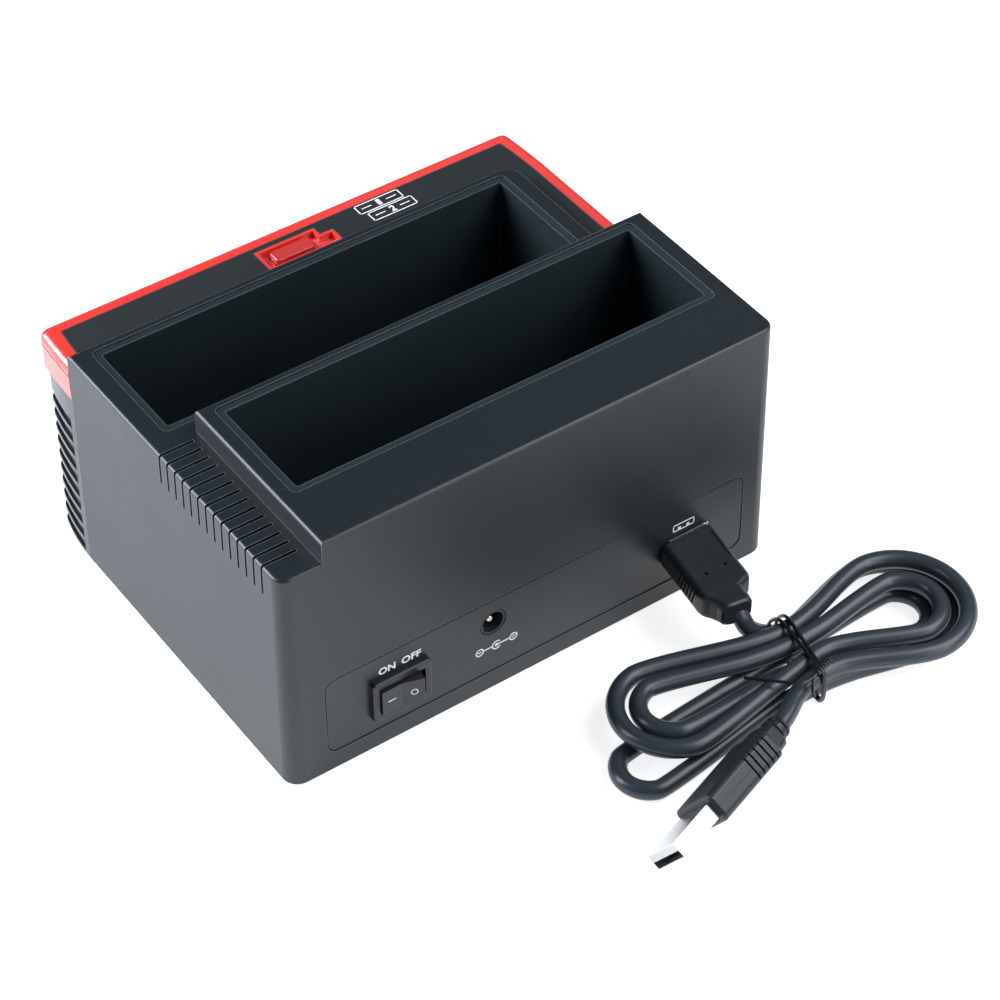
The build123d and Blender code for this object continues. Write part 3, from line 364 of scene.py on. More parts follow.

# Finishes by material slot. Colours are linear, texture scales are counts per metre
# edge is the strength of the painted edge highlight, a pale line standing in for light caught along the edges
plastics = {
    "housing": {"color": (0.0048, 0.0086, 0.0112), "shade": (0.0074, 0.0118, 0.0150), "rough": 0.4,
                "grainDepth": 0.45, "grainScale": 2600.0, "dustAmount": 0.25, "edge": 0.7},
    "well": {"color": (0.0095, 0.0165, 0.0200), "shade": (0.0125, 0.0205, 0.0245), "rough": 0.44,
             "grainDepth": 0.3, "grainScale": 2600.0, "dustAmount": 0.3, "edge": 0.6},
    "trim": {"color": (0.70, 0.032, 0.024), "shade": (0.76, 0.044, 0.032), "rough": 0.24,
             "grainDepth": 0.02, "coat": 0.5, "spread": 0.06},
    "plate": {"color": (0.0120, 0.0150, 0.0165), "shade": (0.0160, 0.0195, 0.0215), "rough": 0.5,
              "grainDepth": 0.5, "grainScale": 1900.0, "dustAmount": 0.2, "edge": 0.6},
    "button": {"color": (0.46, 0.026, 0.022), "shade": (0.52, 0.034, 0.030), "rough": 0.3,
               "grainDepth": 0.05, "coat": 0.3, "spread": 0.08},
    "bezel": {"color": (0.0045, 0.0048, 0.0055), "shade": (0.006, 0.0064, 0.007), "rough": 0.32,
              "grainDepth": 0.02, "coat": 0.1, "spread": 0.05, "dustAmount": 0.15, "edge": 0.9},
    "base": {"color": (0.0135, 0.0155, 0.0170), "shade": (0.018, 0.020, 0.022), "rough": 0.6,
             "grainDepth": 0.6, "grainScale": 1500.0},
    "foot": {"color": (0.014, 0.014, 0.014), "shade": (0.024, 0.023, 0.022), "rough": 0.85,
             "grainDepth": 0.4, "grainScale": 1800.0},
    "panel": {"color": (0.0066, 0.0112, 0.0136), "shade": (0.0096, 0.0148, 0.0176), "rough": 0.38,
              "grainDepth": 0.4, "grainScale": 2800.0, "dustAmount": 0.15},
    "switch": {"color": (0.006, 0.0072, 0.008), "shade": (0.0085, 0.0098, 0.011), "rough": 0.36,
               "grainDepth": 0.2, "grainScale": 3200.0},
    "rocker": {"color": (0.011, 0.013, 0.0145), "shade": (0.014, 0.016, 0.018), "rough": 0.3,
               "grainDepth": 0.12, "grainScale": 3200.0},
    "insulator": {"color": (0.012, 0.012, 0.013), "shade": (0.018, 0.018, 0.019), "rough": 0.5,
                  "grainDepth": 0.25, "grainScale": 3000.0},
    "header": {"color": (0.62, 0.59, 0.5), "shade": (0.7, 0.67, 0.58), "rough": 0.45,
               "grainDepth": 0.15, "grainScale": 2200.0},
    "tongue": {"color": (0.72, 0.71, 0.68), "shade": (0.78, 0.77, 0.74), "rough": 0.35,
               "grainDepth": 0.1, "grainScale": 3000.0},
    "overmould": {"color": (0.0085, 0.0125, 0.0150), "shade": (0.0120, 0.0165, 0.0200), "rough": 0.4,
                  "grainDepth": 0.35, "grainScale": 2400.0, "dustAmount": 0.5},
    "cable": {"color": (0.024, 0.031, 0.041), "shade": (0.034, 0.044, 0.056), "rough": 0.33,
              "grainDepth": 0.08, "grainScale": 1500.0, "spread": 0.12, "dustAmount": 0.3},
    "tie": {"color": (0.006, 0.006, 0.007), "shade": (0.01, 0.01, 0.012), "rough": 0.28,
            "grainDepth": 0.1, "grainScale": 2600.0},
    "chip": {"color": (0.012, 0.012, 0.013), "shade": (0.02, 0.02, 0.021), "rough": 0.6,
             "grainDepth": 0.4, "grainScale": 4200.0},
    "capacitor": {"color": (0.012, 0.02, 0.075), "shade": (0.02, 0.03, 0.1), "rough": 0.3,
                  "grainDepth": 0.05, "coat": 0.4},
    "coil": {"color": (0.035, 0.035, 0.037), "shade": (0.06, 0.06, 0.062), "rough": 0.75,
             "grainDepth": 0.6, "grainScale": 3600.0},
}
plasticDefaults = {"dust": (0.16, 0.165, 0.17), "dustAmount": 0.0, "patchScale": 38.0,
                   "grainScale": 2400.0, "grainDepth": 0.2, "grainHeight": 0.1 * mm, "spread": 0.1,
                   "coat": 0.0, "coatRough": 0.05, "edge": 0.0}
metals = {
    "contact": {"color": (0.72, 0.66, 0.5), "tarnish": (0.5, 0.44, 0.3), "rough": 0.24},
    "connector_shell": {"color": (0.70, 0.69, 0.68), "tarnish": (0.5, 0.48, 0.46), "rough": 0.28},
    "can": {"color": (0.72, 0.72, 0.71), "tarnish": (0.5, 0.5, 0.49), "rough": 0.28},
    "screw": {"color": (0.55, 0.55, 0.56), "tarnish": (0.32, 0.31, 0.3), "rough": 0.34},
    "gold": {"color": (0.9, 0.62, 0.24), "tarnish": (0.7, 0.42, 0.14), "rough": 0.2},
}
metalLines = {"depth": 0.06, "height": 0.02 * mm}
boardLook = {"rough": 0.3, "coat": 0.4, "depth": 0.3, "height": 0.04 * mm}
clears = {"led": (0.75, 0.85, 1.0), "lens": (0.6, 0.75, 1.0)}
clearLook = {"flow": {"Scale": 500.0, "Detail": 2.0}, "rough": 0.12, "through": 0.85, "index": 1.5,
             "depth": 0.1, "height": 0.05 * mm}
inkLook = {"color": (0.93, 0.94, 0.95), "shade": 0.86, "patchScale": 1500.0, "grainScale": 5000.0,
           "rough": 0.55, "depth": 0.2, "height": 0.03 * mm}


def startMaterial(name):
    made = bpy.data.materials.new(name)
    made.use_nodes = True
    tree = made.node_tree
    surface = tree.nodes["Principled BSDF"]
    place = addNode(tree, "ShaderNodeTexCoord")
    return made, tree, surface, place.outputs["Object"]


def placeGroup(tree, group, values, vector):
    placed = tree.nodes.new("ShaderNodeGroup")
    placed.node_tree = group
    tree.links.new(vector, placed.inputs["Vector"])
    for name, value in values.items():
        placed.inputs[name].default_value = value
    return placed


def addBump(tree, surface, height, strength, distance):
    bump = addNode(tree, "ShaderNodeBump", {"Strength": strength, "Distance": distance})
    tree.links.new(height, bump.inputs["Height"])
    tree.links.new(bump.outputs["Normal"], surface.inputs["Normal"])


def plasticFinish(name, look):
    look = {**plasticDefaults, **look}
    made, tree, surface, vector = startMaterial(name)
    placed = placeGroup(tree, mouldedGroup, {
        "Color": (*look["color"], 1), "Shade": (*look["shade"], 1), "Dust": (*look["dust"], 1),
        "Dust Amount": look["dustAmount"], "Patch Scale": look["patchScale"],
        "Grain Scale": look["grainScale"], "Roughness": look["rough"], "Roughness Spread": look["spread"],
    }, vector)
    tone = placed.outputs["Color"]
    # painted edge highlight: pale lines mixed into the base colour where light would catch the edges
    if look["edge"]:
        edgeHighlight = tree.nodes.new("ShaderNodeGroup")
        edgeHighlight.node_tree = edgeHighlightGroup
        edgeHighlight.inputs["Amount"].default_value = look["edge"]
        tree.links.new(tone, edgeHighlight.inputs["Color"])
        tone = edgeHighlight.outputs["Color"]
    tree.links.new(tone, surface.inputs["Base Color"])
    tree.links.new(placed.outputs["Roughness"], surface.inputs["Roughness"])
    surface.inputs["Coat Weight"].default_value = look["coat"]
    surface.inputs["Coat Roughness"].default_value = look["coatRough"]
    addBump(tree, surface, placed.outputs["Height"], look["grainDepth"], look["grainHeight"])
    return made


def metalFinish(name, look):
    made, tree, surface, vector = startMaterial(name)
    placed = placeGroup(tree, metalGroup, {
        "Color": (*look["color"], 1), "Tarnish": (*look["tarnish"], 1), "Roughness": look["rough"],
    }, vector)
    tree.links.new(placed.outputs["Color"], surface.inputs["Base Color"])
    tree.links.new(placed.outputs["Roughness"], surface.inputs["Roughness"])
    surface.inputs["Metallic"].default_value = 1.0
    addBump(tree, surface, placed.outputs["Height"], metalLines["depth"], metalLines["height"])
    return made


def boardFinish(name, look):
    made, tree, surface, vector = startMaterial(name)
    placed = placeGroup(tree, boardGroup, {}, vector)
    tree.links.new(placed.outputs["Color"], surface.inputs["Base Color"])
    surface.inputs["Roughness"].default_value = look["rough"]
    surface.inputs["Coat Weight"].default_value = look["coat"]
    addBump(tree, surface, placed.outputs["Height"], look["depth"], look["height"])
    return made


# Clear epoxy with faint flow lines
def clearFinish(name, tint, look):
    made, tree, surface, vector = startMaterial(name)
    flow = addNode(tree, "ShaderNodeTexNoise", look["flow"])
    tree.links.new(vector, flow.inputs["Vector"])
    surface.inputs["Base Color"].default_value = (*tint, 1)
    surface.inputs["Roughness"].default_value = look["rough"]
    surface.inputs["Transmission Weight"].default_value = look["through"]
    surface.inputs["IOR"].default_value = look["index"]
    addBump(tree, surface, flow.outputs["Fac"], look["depth"], look["height"])
    return made


# Printed ink, a little uneven in tone
def inkFinish(name, look):
    made, tree, surface, vector = startMaterial(name)
    placed = placeGroup(tree, mouldedGroup, {
        "Color": (*look["color"], 1), "Shade": (*[value * look["shade"] for value in look["color"]], 1),
        "Patch Scale": look["patchScale"], "Grain Scale": look["grainScale"], "Roughness": look["rough"],
    }, vector)
    tree.links.new(placed.outputs["Color"], surface.inputs["Base Color"])
    tree.links.new(placed.outputs["Roughness"], surface.inputs["Roughness"])
    addBump(tree, surface, placed.outputs["Height"], look["depth"], look["height"])
    return made


finishes = {slot: plasticFinish(slot, look) for slot, look in plastics.items()}
finishes.update({slot: metalFinish(slot, look) for slot, look in metals.items()})
finishes["board"] = boardFinish("board", boardLook)
finishes.update({slot: clearFinish(slot, tint, clearLook) for slot, tint in clears.items()})
finishes["ink"] = inkFinish("ink", inkLook)

for part in frame["record"]["subparts"]:
    thing = nodes[part["node"]]
    thing.data.materials.clear()
    thing.data.materials.append(finishes[part["material_slot"]])
print("stage: finishes,", len(finishes))


# A finished piece: its finish, its slot and the body it rides on
def finishPiece(thing, finish, body, replaced=()):
    thing.data.materials.clear()
    thing.data.materials.append(finishes[finish])
    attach(thing, body)
    if replaced:
        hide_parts(*replaced)
    return thing


def toMesh(thing, name):
    bpy.context.view_layer.update()
    ready = thing.evaluated_get(bpy.context.evaluated_depsgraph_get())
    mesh = bpy.data.meshes.new_from_object(ready)
    mesh.transform(thing.matrix_world)
    made = addObject(name, mesh)
    bpy.data.objects.remove(thing)
    made.name = name
    return made


# A bmesh becomes an object, with its mesh moved to its place
def shapeObject(name, shape, place=Matrix.Identity(4)):
    mesh = bpy.data.meshes.new(name)
    shape.to_mesh(mesh)
    shape.free()
    mesh.transform(place)
    return addObject(name, mesh)


def addBox(shape, size, place):
    corners = bmesh.ops.create_cube(shape, size=1.0)["verts"]
    bmesh.ops.transform(shape, verts=corners, matrix=place @ Matrix.Diagonal((*size, 1)))


# Objects joined into one, each with its own shift
def joinObjects(name, things, place=Matrix.Identity(4)):
    shape = bmesh.new()
    for thing, across, up in things:
        thing.data.transform(Matrix.Translation((across, up, 0)))
        shape.from_mesh(thing.data)
        bpy.data.objects.remove(thing)
    return shapeObject(name, shape, place)


finishPiece(usbCable, "cable", "dock", ("near_lead", "cable_hank", "far_lead"))


# A moulded cover: rings of a rounded section along a line, each with its own widths
def sectionRing(halfAcross, halfUp, corner, steps=5):
    ring = []
    for turn, (sideX, sideZ) in enumerate(((1, 1), (-1, 1), (-1, -1), (1, -1))):
        for step in range(steps + 1):
            angle = math.pi / 2 * (turn + step / steps)
            ring.append((sideX * (halfAcross - corner) + corner * math.cos(angle),
                         sideZ * (halfUp - corner) + corner * math.sin(angle)))
    return ring


def loftMesh(name, rings):
    shape = bmesh.new()
    rows = [[shape.verts.new(point) for point in ring] for ring in rings]
    count = len(rows[0])
    for one, two in zip(rows, rows[1:]):
        for spot in range(count):
            follow = (spot + 1) % count
            shape.faces.new((one[spot], one[follow], two[follow], two[spot]))
    shape.faces.new(rows[0])
    shape.faces.new(list(reversed(rows[-1])))
    bmesh.ops.recalc_face_normals(shape, faces=shape.faces)
    return shapeObject(name, shape)


def cutAway(thing, boxes):
    for size, place in boxes:
        shape = bmesh.new()
        addBox(shape, [side * mm for side in size], Matrix.Identity(4))
        tool = shapeObject("cut", shape, place)
        cut = thing.modifiers.new("cut", "BOOLEAN")
        cut.operation = "DIFFERENCE"
        cut.solver = "EXACT"
        cut.object = tool
        whole = toMesh(thing, thing.name)
        bpy.data.objects.remove(tool)
        thing = whole
    return thing


# A cutting box's place, in mm on the cover's own axes
def cutPlace(x, y, z=0.0, lean=0.0):
    return Matrix.Translation((x * mm, y * mm, z * mm)) @ Matrix.Rotation(math.radians(lean), 4, "X")


# Near plug: Y runs out of the port. Each station: y, left, right, half height, corner, all in mm
nearCover = {
    "at": (-0.0475, 0.05747, 0.0172),
    "yaw": -8.5,
    "side": 8.0,
    "top": 4.0,
    "slantedStations": 2,
    "stations": [
        (0.25, -7.4, 7.4, 3.5, 1.6), (0.7, -8.0, 8.0, 4.0, 2.0), (19.4, -8.0, 8.0, 4.0, 2.0),
        (20.6, -7.4, 8.0, 4.0, 1.9), (22.4, -4.2, 7.6, 3.9, 1.8), (23.0, -3.9, 7.2, 3.85, 1.7),
        (24.2, -3.9, 6.2, 3.8, 1.7), (26.0, -4.3, 5.2, 3.8, 1.9), (27.6, -4.2, 4.8, 3.7, 2.2),
        (28.3, -3.6, 4.2, 3.3, 2.4),
    ],
    "grips": {"count": 6, "first": 11.2, "step": 1.45, "wide": 0.6, "deep": 0.75, "tall": 6.6,
              "lean": -16.0},
    "pin": {"radius": 0.45, "deep": 0.8, "spots": [(-3.6, 14.6), (2.6, 15.6)]},
    "edge": {"wide": 0.45, "deep": 0.35, "x": -6.3, "from": 2.0, "to": 12.0},
}
# Far plug: Y runs back from its mouth along the cable. Each station: y, half width, half height, corner
farCover = {
    "at": (0.002, 0.12857, 0.00895),
    "heading": math.degrees(math.atan2(0.337, 0.942)) + 90,
    "roll": -54.0,
    "side": 8.0,
    "stations": [
        (0.0, 7.2, 3.2, 1.2), (0.6, 8.0, 4.0, 1.9), (25.6, 8.0, 4.0, 1.9), (26.6, 7.2, 3.9, 1.9),
        (27.4, 5.8, 3.7, 1.8), (31.0, 5.4, 3.6, 1.9), (31.8, 4.6, 3.4, 2.2), (32.2, 3.4, 3.2, 2.6),
        (32.5, 2.95, 2.95, 2.6), (33.1, 2.95, 2.95, 2.6), (33.4, 3.4, 3.4, 3.0), (34.4, 3.35, 3.35, 3.0),
        (34.7, 2.8, 2.8, 2.5), (35.3, 2.8, 2.8, 2.5), (35.6, 3.2, 3.2, 2.8), (36.4, 3.1, 3.1, 2.8),
        (36.7, 2.62, 2.62, 2.4),
    ],
    "mouth": {"half": (6.1, 2.35), "deep": 2.1},
    "grips": {"count": 5, "first": 15.6, "step": 2.1, "wide": 0.6, "deep": 0.8, "tall": 6.9, "lean": 0.0},
    "seam": {"wide": 0.22, "deep": 0.16, "from": 0.6, "to": 14.5},
}


# Boxes that cut the grip's grooves into one side
def gripCuts(grips, x):
    size = (grips["deep"] * 2, grips["wide"], grips["tall"])
    return [(size, cutPlace(x, grips["first"] + number * grips["step"], lean=grips["lean"]))
            for number in range(grips["count"])]


def makeNearCover(values):
    rings = []
    lean = math.tan(math.radians(-values["yaw"]))
    for number, (y, left, right, half, corner) in enumerate(values["stations"]):
        middle = (left + right) / 2
        skew = lean if number < values["slantedStations"] else 0.0
        rings.append([((x + middle) * mm, (y + (x + middle) * skew) * mm, z * mm)
                      for x, z in sectionRing((right - left) / 2, half, corner)])
    pin, edge, top = values["pin"], values["edge"], values["top"]
    boxes = [*gripCuts(values["grips"], -values["side"]), *gripCuts(values["grips"], values["side"])]
    boxes += [((pin["radius"] * 2, pin["radius"] * 2, pin["deep"] * 2), cutPlace(x, y, top))
              for x, y in pin["spots"]]
    boxes.append(((edge["wide"], edge["to"] - edge["from"], edge["deep"] * 2),
                  cutPlace(edge["x"], (edge["from"] + edge["to"]) / 2, top)))
    made = cutAway(loftMesh("nearPlugCover", rings), boxes)
    turn = Matrix.Rotation(math.radians(values["yaw"]), 4, "Z")
    made.data.transform(Matrix.Translation(values["at"]) @ turn)
    return finishPiece(made, "overmould", "dock", ("near_plug",))


def makeFarCover(values):
    rings = [[(x * mm, y * mm, z * mm) for x, z in sectionRing(half, up, corner)]
             for y, half, up, corner in values["stations"]]
    mouth, seam = values["mouth"], values["seam"]
    boxes = [((mouth["half"][0] * 2, mouth["deep"] * 2, mouth["half"][1] * 2), cutPlace(0, 0))]
    for x in (-values["side"], values["side"]):
        boxes += gripCuts(values["grips"], x)
        boxes.append(((seam["deep"] * 2, seam["to"] - seam["from"], seam["wide"]),
                      cutPlace(x, (seam["from"] + seam["to"]) / 2)))
    made = cutAway(loftMesh("farPlugCover", rings), boxes)
    made.data.transform(Matrix.Translation(values["at"])
                        @ Matrix.Rotation(math.radians(values["heading"]), 4, "Z")
                        @ Matrix.Rotation(math.radians(values["roll"]), 4, "Y"))
    return finishPiece(made, "overmould", "dock", ("far_plug",))


nearPlugCover = makeNearCover(nearCover)
farPlugCover = makeFarCover(farCover)
print("stage: plug covers")

# Printed marks stand a hair off the face they are printed on
inkLayer = {"lift": 0.03 * mm, "thick": 0.03 * mm, "weight": 0.028}
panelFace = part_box("rear_panel")[1].y
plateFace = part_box("top_plate")[1].z
onPanel = Matrix(((-1, 0, 0), (0, 0, 1), (0, 1, 0))).to_4x4()
onPlate = Matrix(((-1, 0, 0), (0, -1, 0), (0, 0, 1))).to_4x4()


def wordMark(words, height, width):
    data = bpy.data.curves.new("mark", "FONT")
    data.body = words
    data.size = 1.0
    data.extrude = 0.5
    data.align_x = "CENTER"
    data.align_y = "CENTER"
    data.offset = inkLayer["weight"]
    data.resolution_u = 6
    made = toMesh(addObject("mark", data), "mark")
    spots = [vertex.co for vertex in made.data.vertices]
    low = Vector([min(spot[i] for spot in spots) for i in range(3)])
    high = Vector([max(spot[i] for spot in spots) for i in range(3)])
    middle = (low + high) / 2
    size = high - low
    scale = Matrix.Diagonal((width / size.x, height / size.y, inkLayer["thick"] / size.z, 1))
    made.data.transform(scale @ Matrix.Translation(-middle))
    return made


def barMark(bars):
    shape = bmesh.new()
    for x, y, width, height in bars:
        addBox(shape, (width, height, inkLayer["thick"]), Matrix.Translation((x, y, 0)))
    return shapeObject("mark", shape)


def ringMark(radius, line, start=0.0, sweep=math.tau, steps=40):
    shape = bmesh.new()
    rings = []
    inside, outside, top = radius - line / 2, radius + line / 2, inkLayer["thick"]
    for step in range(steps + 1):
        angle = start + sweep * step / steps
        rings.append([shape.verts.new((reach * math.cos(angle), reach * math.sin(angle), z))
                      for reach, z in ((inside, 0), (outside, 0), (outside, top), (inside, top))])
    for one, two in zip(rings, rings[1:]):
        for side in range(4):
            shape.faces.new((one[side], one[(side + 1) % 4], two[(side + 1) % 4], two[side]))
    bmesh.ops.remove_doubles(shape, verts=shape.verts, dist=1e-7)
    bmesh.ops.recalc_face_normals(shape, faces=shape.faces)
    return shapeObject("mark", shape)


def outlineBars(width, height, line):
    return [(0, height / 2 - line / 2, width, line), (0, line / 2 - height / 2, width, line),
            (width / 2 - line / 2, 0, line, height), (line / 2 - width / 2, 0, line, height)]


# Generic marks: ON and OFF by the switch, inlet polarity, a port sign, and bay numbers on the plate.
# Words are word, width and shift; bars are x, y, width and height
marks = {
    "onOff": {"x": 42.1 * mm, "z": 26.6 * mm, "height": 2.3 * mm,
              "words": [("ON", 4.964 * mm, -3.6208 * mm), ("OFF", 5.84 * mm, 3.6208 * mm)]},
    "polarity": {"x": 12.7 * mm, "z": 15.4 * mm, "ring": 1.1 * mm, "line": 0.42 * mm, "spread": 5.2 * mm,
                 "cup": {"radius": 1.32 * mm, "from": 40, "sweep": 280},
                 "dot": {"radius": 0.294 * mm, "line": 0.546 * mm},
                 "leads": [(-2.59 * mm, 2.56 * mm), (2.05 * mm, 4.1 * mm)]},
    "port": {"x": -46.7 * mm, "z": 24.6 * mm, "width": 7.0 * mm, "height": 2.4 * mm, "line": 0.34 * mm,
             "slots": [(side * 1.4 * mm, -0.384 * mm, 0.98 * mm, 0.72 * mm) for side in (-1, 1)]},
    "bay": {"width": 14.0 * mm, "height": 4.0 * mm, "line": 0.32 * mm, "digit": 2.5 * mm,
            "barAt": 3.92 * mm, "bar": 3.136 * mm,
            "numbers": [("1", 1.125 * mm, (-27.3 * mm, -54.2 * mm)),
                        ("2", 1.55 * mm, (-28.9 * mm, -49.8 * mm))]},
}


def makePanelMarks(values):
    def panelPiece(name, look, things):
        place = Matrix.Translation((look["x"], panelFace + inkLayer["lift"], look["z"])) @ onPanel
        finishPiece(joinObjects(name, things, place), "ink", "dock")

    legend = values["onOff"]
    panelPiece("onOffLegend", legend, [(wordMark(word, legend["height"], width), shift, 0)
                                       for word, width, shift in legend["words"]])
    sign = values["polarity"]
    ring, line, spread, cup = sign["ring"], sign["line"], sign["spread"], sign["cup"]
    panelPiece("inletPolarityMark", sign, [
        (ringMark(ring, line), -spread, 0),
        (barMark([(0, 0, ring, line)]), -spread, 0),
        (ringMark(ring, line), spread, 0),
        (barMark([(0, 0, ring, line), (0, 0, line, ring)]), spread, 0),
        (ringMark(cup["radius"], line, math.radians(cup["from"]), math.radians(cup["sweep"])), 0, 0),
        (ringMark(sign["dot"]["radius"], sign["dot"]["line"]), 0, 0),
        *[(barMark([(0, 0, length, line)]), middle, 0) for middle, length in sign["leads"]],
    ])
    port = values["port"]
    panelPiece("portMark", port, [
        (barMark(outlineBars(port["width"], port["height"], port["line"])), 0, 0),
        (barMark(port["slots"]), 0, 0),
    ])


def makePlateMarks(values):
    bay = values["bay"]
    for number, width, (x, y) in bay["numbers"]:
        place = Matrix.Translation((x, y, plateFace + inkLayer["lift"])) @ onPlate
        joined = joinObjects(f"bayNumber{number}", [
            (barMark(outlineBars(bay["width"], bay["height"], bay["line"])), 0, 0),
            (wordMark(number, bay["digit"], width), 0, 0),
            (barMark([(side * bay["barAt"], 0, bay["bar"], bay["line"]) for side in (-1, 1)]), 0, 0),
        ], place)
        finishPiece(joined, "ink", "dock")


# The rocker's two marks lie on its two sloping faces
rocker = {
    "tilt": -8.0,
    "half": 5.9 * mm,
    "dip": 5.3 * mm,
    "tip": 6.3 * mm,
    "markAt": 3.1 * mm,
    "dash": (2.3 * mm, 0.34 * mm),
    "ring": 0.85 * mm,
    "line": 0.3 * mm,
}


def makeRockerMarks(values):
    joint = next(joint for joint in frame["joints"] if joint["child"] == "rocker")
    pivot = Matrix.Translation(joint["pos_m"]) @ Matrix.Rotation(math.radians(values["tilt"]), 4, "Z")
    slope = math.atan2(values["tip"] - values["dip"], values["half"])
    rise = values["dip"] + values["markAt"] * math.tan(slope) + inkLayer["lift"]
    for name, side, mark in (("rockerDash", 1, barMark([(0, 0, *values["dash"])])),
                             ("rockerRing", -1, ringMark(values["ring"], values["line"]))):
        place = (pivot @ Matrix.Translation((side * values["markAt"], rise, 0))
                 @ Matrix.Rotation(side * slope, 4, "Z") @ onPanel)
        finishPiece(joinObjects(name, [(mark, 0, 0)], place), "ink", "rocker")


makePanelMarks(marks)
makePlateMarks(marks)
makeRockerMarks(rocker)
print("stage: printed marks")

# Contacts in the drive sockets, and the spring leaf in the power inlet. A segment is a shift in mm and a
# count, a tube its radius, its wall and its height
contacts = {
    "pitch": 1.27 * mm,
    "finger": (0.6 * mm, 0.26 * mm, 3.4 * mm),
    "wall": 0.66 * mm,
    "below": 2.2 * mm,
    "segments": [(-6.65, 15), (13.65, 7)],
    "tubePitch": 5.08 * mm,
    "tubeCount": 4,
    "tube": (1.38 * mm, 0.5 * mm, 4.2 * mm),
    "tubeSides": 28,
    "tubeBelow": 2.9 * mm,
    "leaf": {"radius": 2.9 * mm, "wall": 0.3 * mm, "from": 128, "sweep": 104, "deep": 7.4 * mm,
             "long": 6.0 * mm},
}


def makeRowGroup(name, tubeSides=0):
    group, entry, leave = newGroup(name, [
        ("Geometry", "NodeSocketGeometry", None), ("Count", "NodeSocketInt", 4),
        ("Pitch", "NodeSocketFloat", 1.0 * mm), ("Size", "NodeSocketVector", None),
        ("Material", "NodeSocketMaterial", None),
    ], [("Geometry", "NodeSocketGeometry")], "GeometryNodeTree")
    link = group.links.new
    row = addNode(group, "GeometryNodeMeshLine")
    apart = addNode(group, "ShaderNodeCombineXYZ")
    link(entry.outputs["Pitch"], apart.inputs["X"])
    link(entry.outputs["Count"], row.inputs["Count"])
    link(apart.outputs["Vector"], row.inputs["Offset"])
    split = addNode(group, "ShaderNodeSeparateXYZ")
    link(entry.outputs["Size"], split.inputs["Vector"])
    if tubeSides:
        circle = addNode(group, "GeometryNodeCurvePrimitiveCircle", {"Resolution": tubeSides})
        wall = addNode(group, "GeometryNodeCurvePrimitiveQuadrilateral")
        piece = addNode(group, "GeometryNodeCurveToMesh")
        link(split.outputs["X"], circle.inputs["Radius"])
        link(split.outputs["Y"], wall.inputs["Width"])
        link(split.outputs["Z"], wall.inputs["Height"])
        link(circle.outputs["Curve"], piece.inputs["Curve"])
        link(wall.outputs["Curve"], piece.inputs["Profile Curve"])
    else:
        piece = addNode(group, "GeometryNodeMeshCube")
        link(entry.outputs["Size"], piece.inputs["Size"])
    spread = addNode(group, "GeometryNodeInstanceOnPoints")
    whole = addNode(group, "GeometryNodeRealizeInstances")
    paint = addNode(group, "GeometryNodeSetMaterial")
    link(row.outputs["Mesh"], spread.inputs["Points"])
    link(piece.outputs["Mesh"], spread.inputs["Instance"])
    link(spread.outputs["Instances"], whole.inputs["Geometry"])
    link(whole.outputs["Geometry"], paint.inputs["Geometry"])
    link(entry.outputs["Material"], paint.inputs["Material"])
    link(paint.outputs["Geometry"], leave.inputs["Geometry"])
    return group


def makeRow(group, count, pitch, size, middle):
    made = addObject("row", bpy.data.meshes.new("row"))
    change = made.modifiers.new("row", "NODES")
    change.node_group = group
    values = {"Count": count, "Pitch": pitch, "Size": size, "Material": finishes["gold"]}
    for socket in group.interface.items_tree:
        if socket.in_out == "INPUT" and socket.name in values:
            change[socket.identifier] = values[socket.name]
    whole = toMesh(made, "row")
    whole.data.transform(Matrix.Translation(Vector(middle) - Vector(((count - 1) * pitch / 2, 0, 0))))
    return whole


def makeContacts(values):
    def dockPiece(name, rows, finish, place=Matrix.Identity(4)):
        things = [(row, 0, 0) for row in rows]
        finishPiece(joinObjects(name, things, place), finish, "dock")

    fingers, tubes = makeRowGroup("fingerRow"), makeRowGroup("tubeRow", values["tubeSides"])
    for side in ("front", "rear"):
        low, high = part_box(f"{side}_sata_socket")
        middle = (low + high) / 2
        dockPiece(f"{side}SocketContacts", [
            makeRow(fingers, count, values["pitch"], values["finger"],
                    (middle.x + shift * mm, middle.y - values["wall"], high.z - values["below"]))
            for shift, count in values["segments"]], "gold")
        low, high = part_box(f"{side}_power_header")
        middle = (low + high) / 2
        dockPiece(f"{side}PowerContacts", [
            makeRow(tubes, values["tubeCount"], values["tubePitch"], values["tube"],
                    (middle.x, middle.y, high.z - values["tubeBelow"]))], "contact")
    leaf = values["leaf"]
    arc = ringMark(leaf["radius"], leaf["wall"], math.radians(leaf["from"]), math.radians(leaf["sweep"]))
    arc.data.transform(Matrix.Diagonal((1, 1, leaf["long"] / inkLayer["thick"], 1)))
    inlet = next(mount for mount in frame["record"]["mounts"] if mount["name"] == "power_inlet")["pos_m"]
    place = Matrix.Translation((inlet[0], panelFace - leaf["deep"], inlet[2])) @ onPanel
    dockPiece("inletLeaf", [arc], "connector_shell", place)


makeContacts(contacts)
print("stage: contacts")

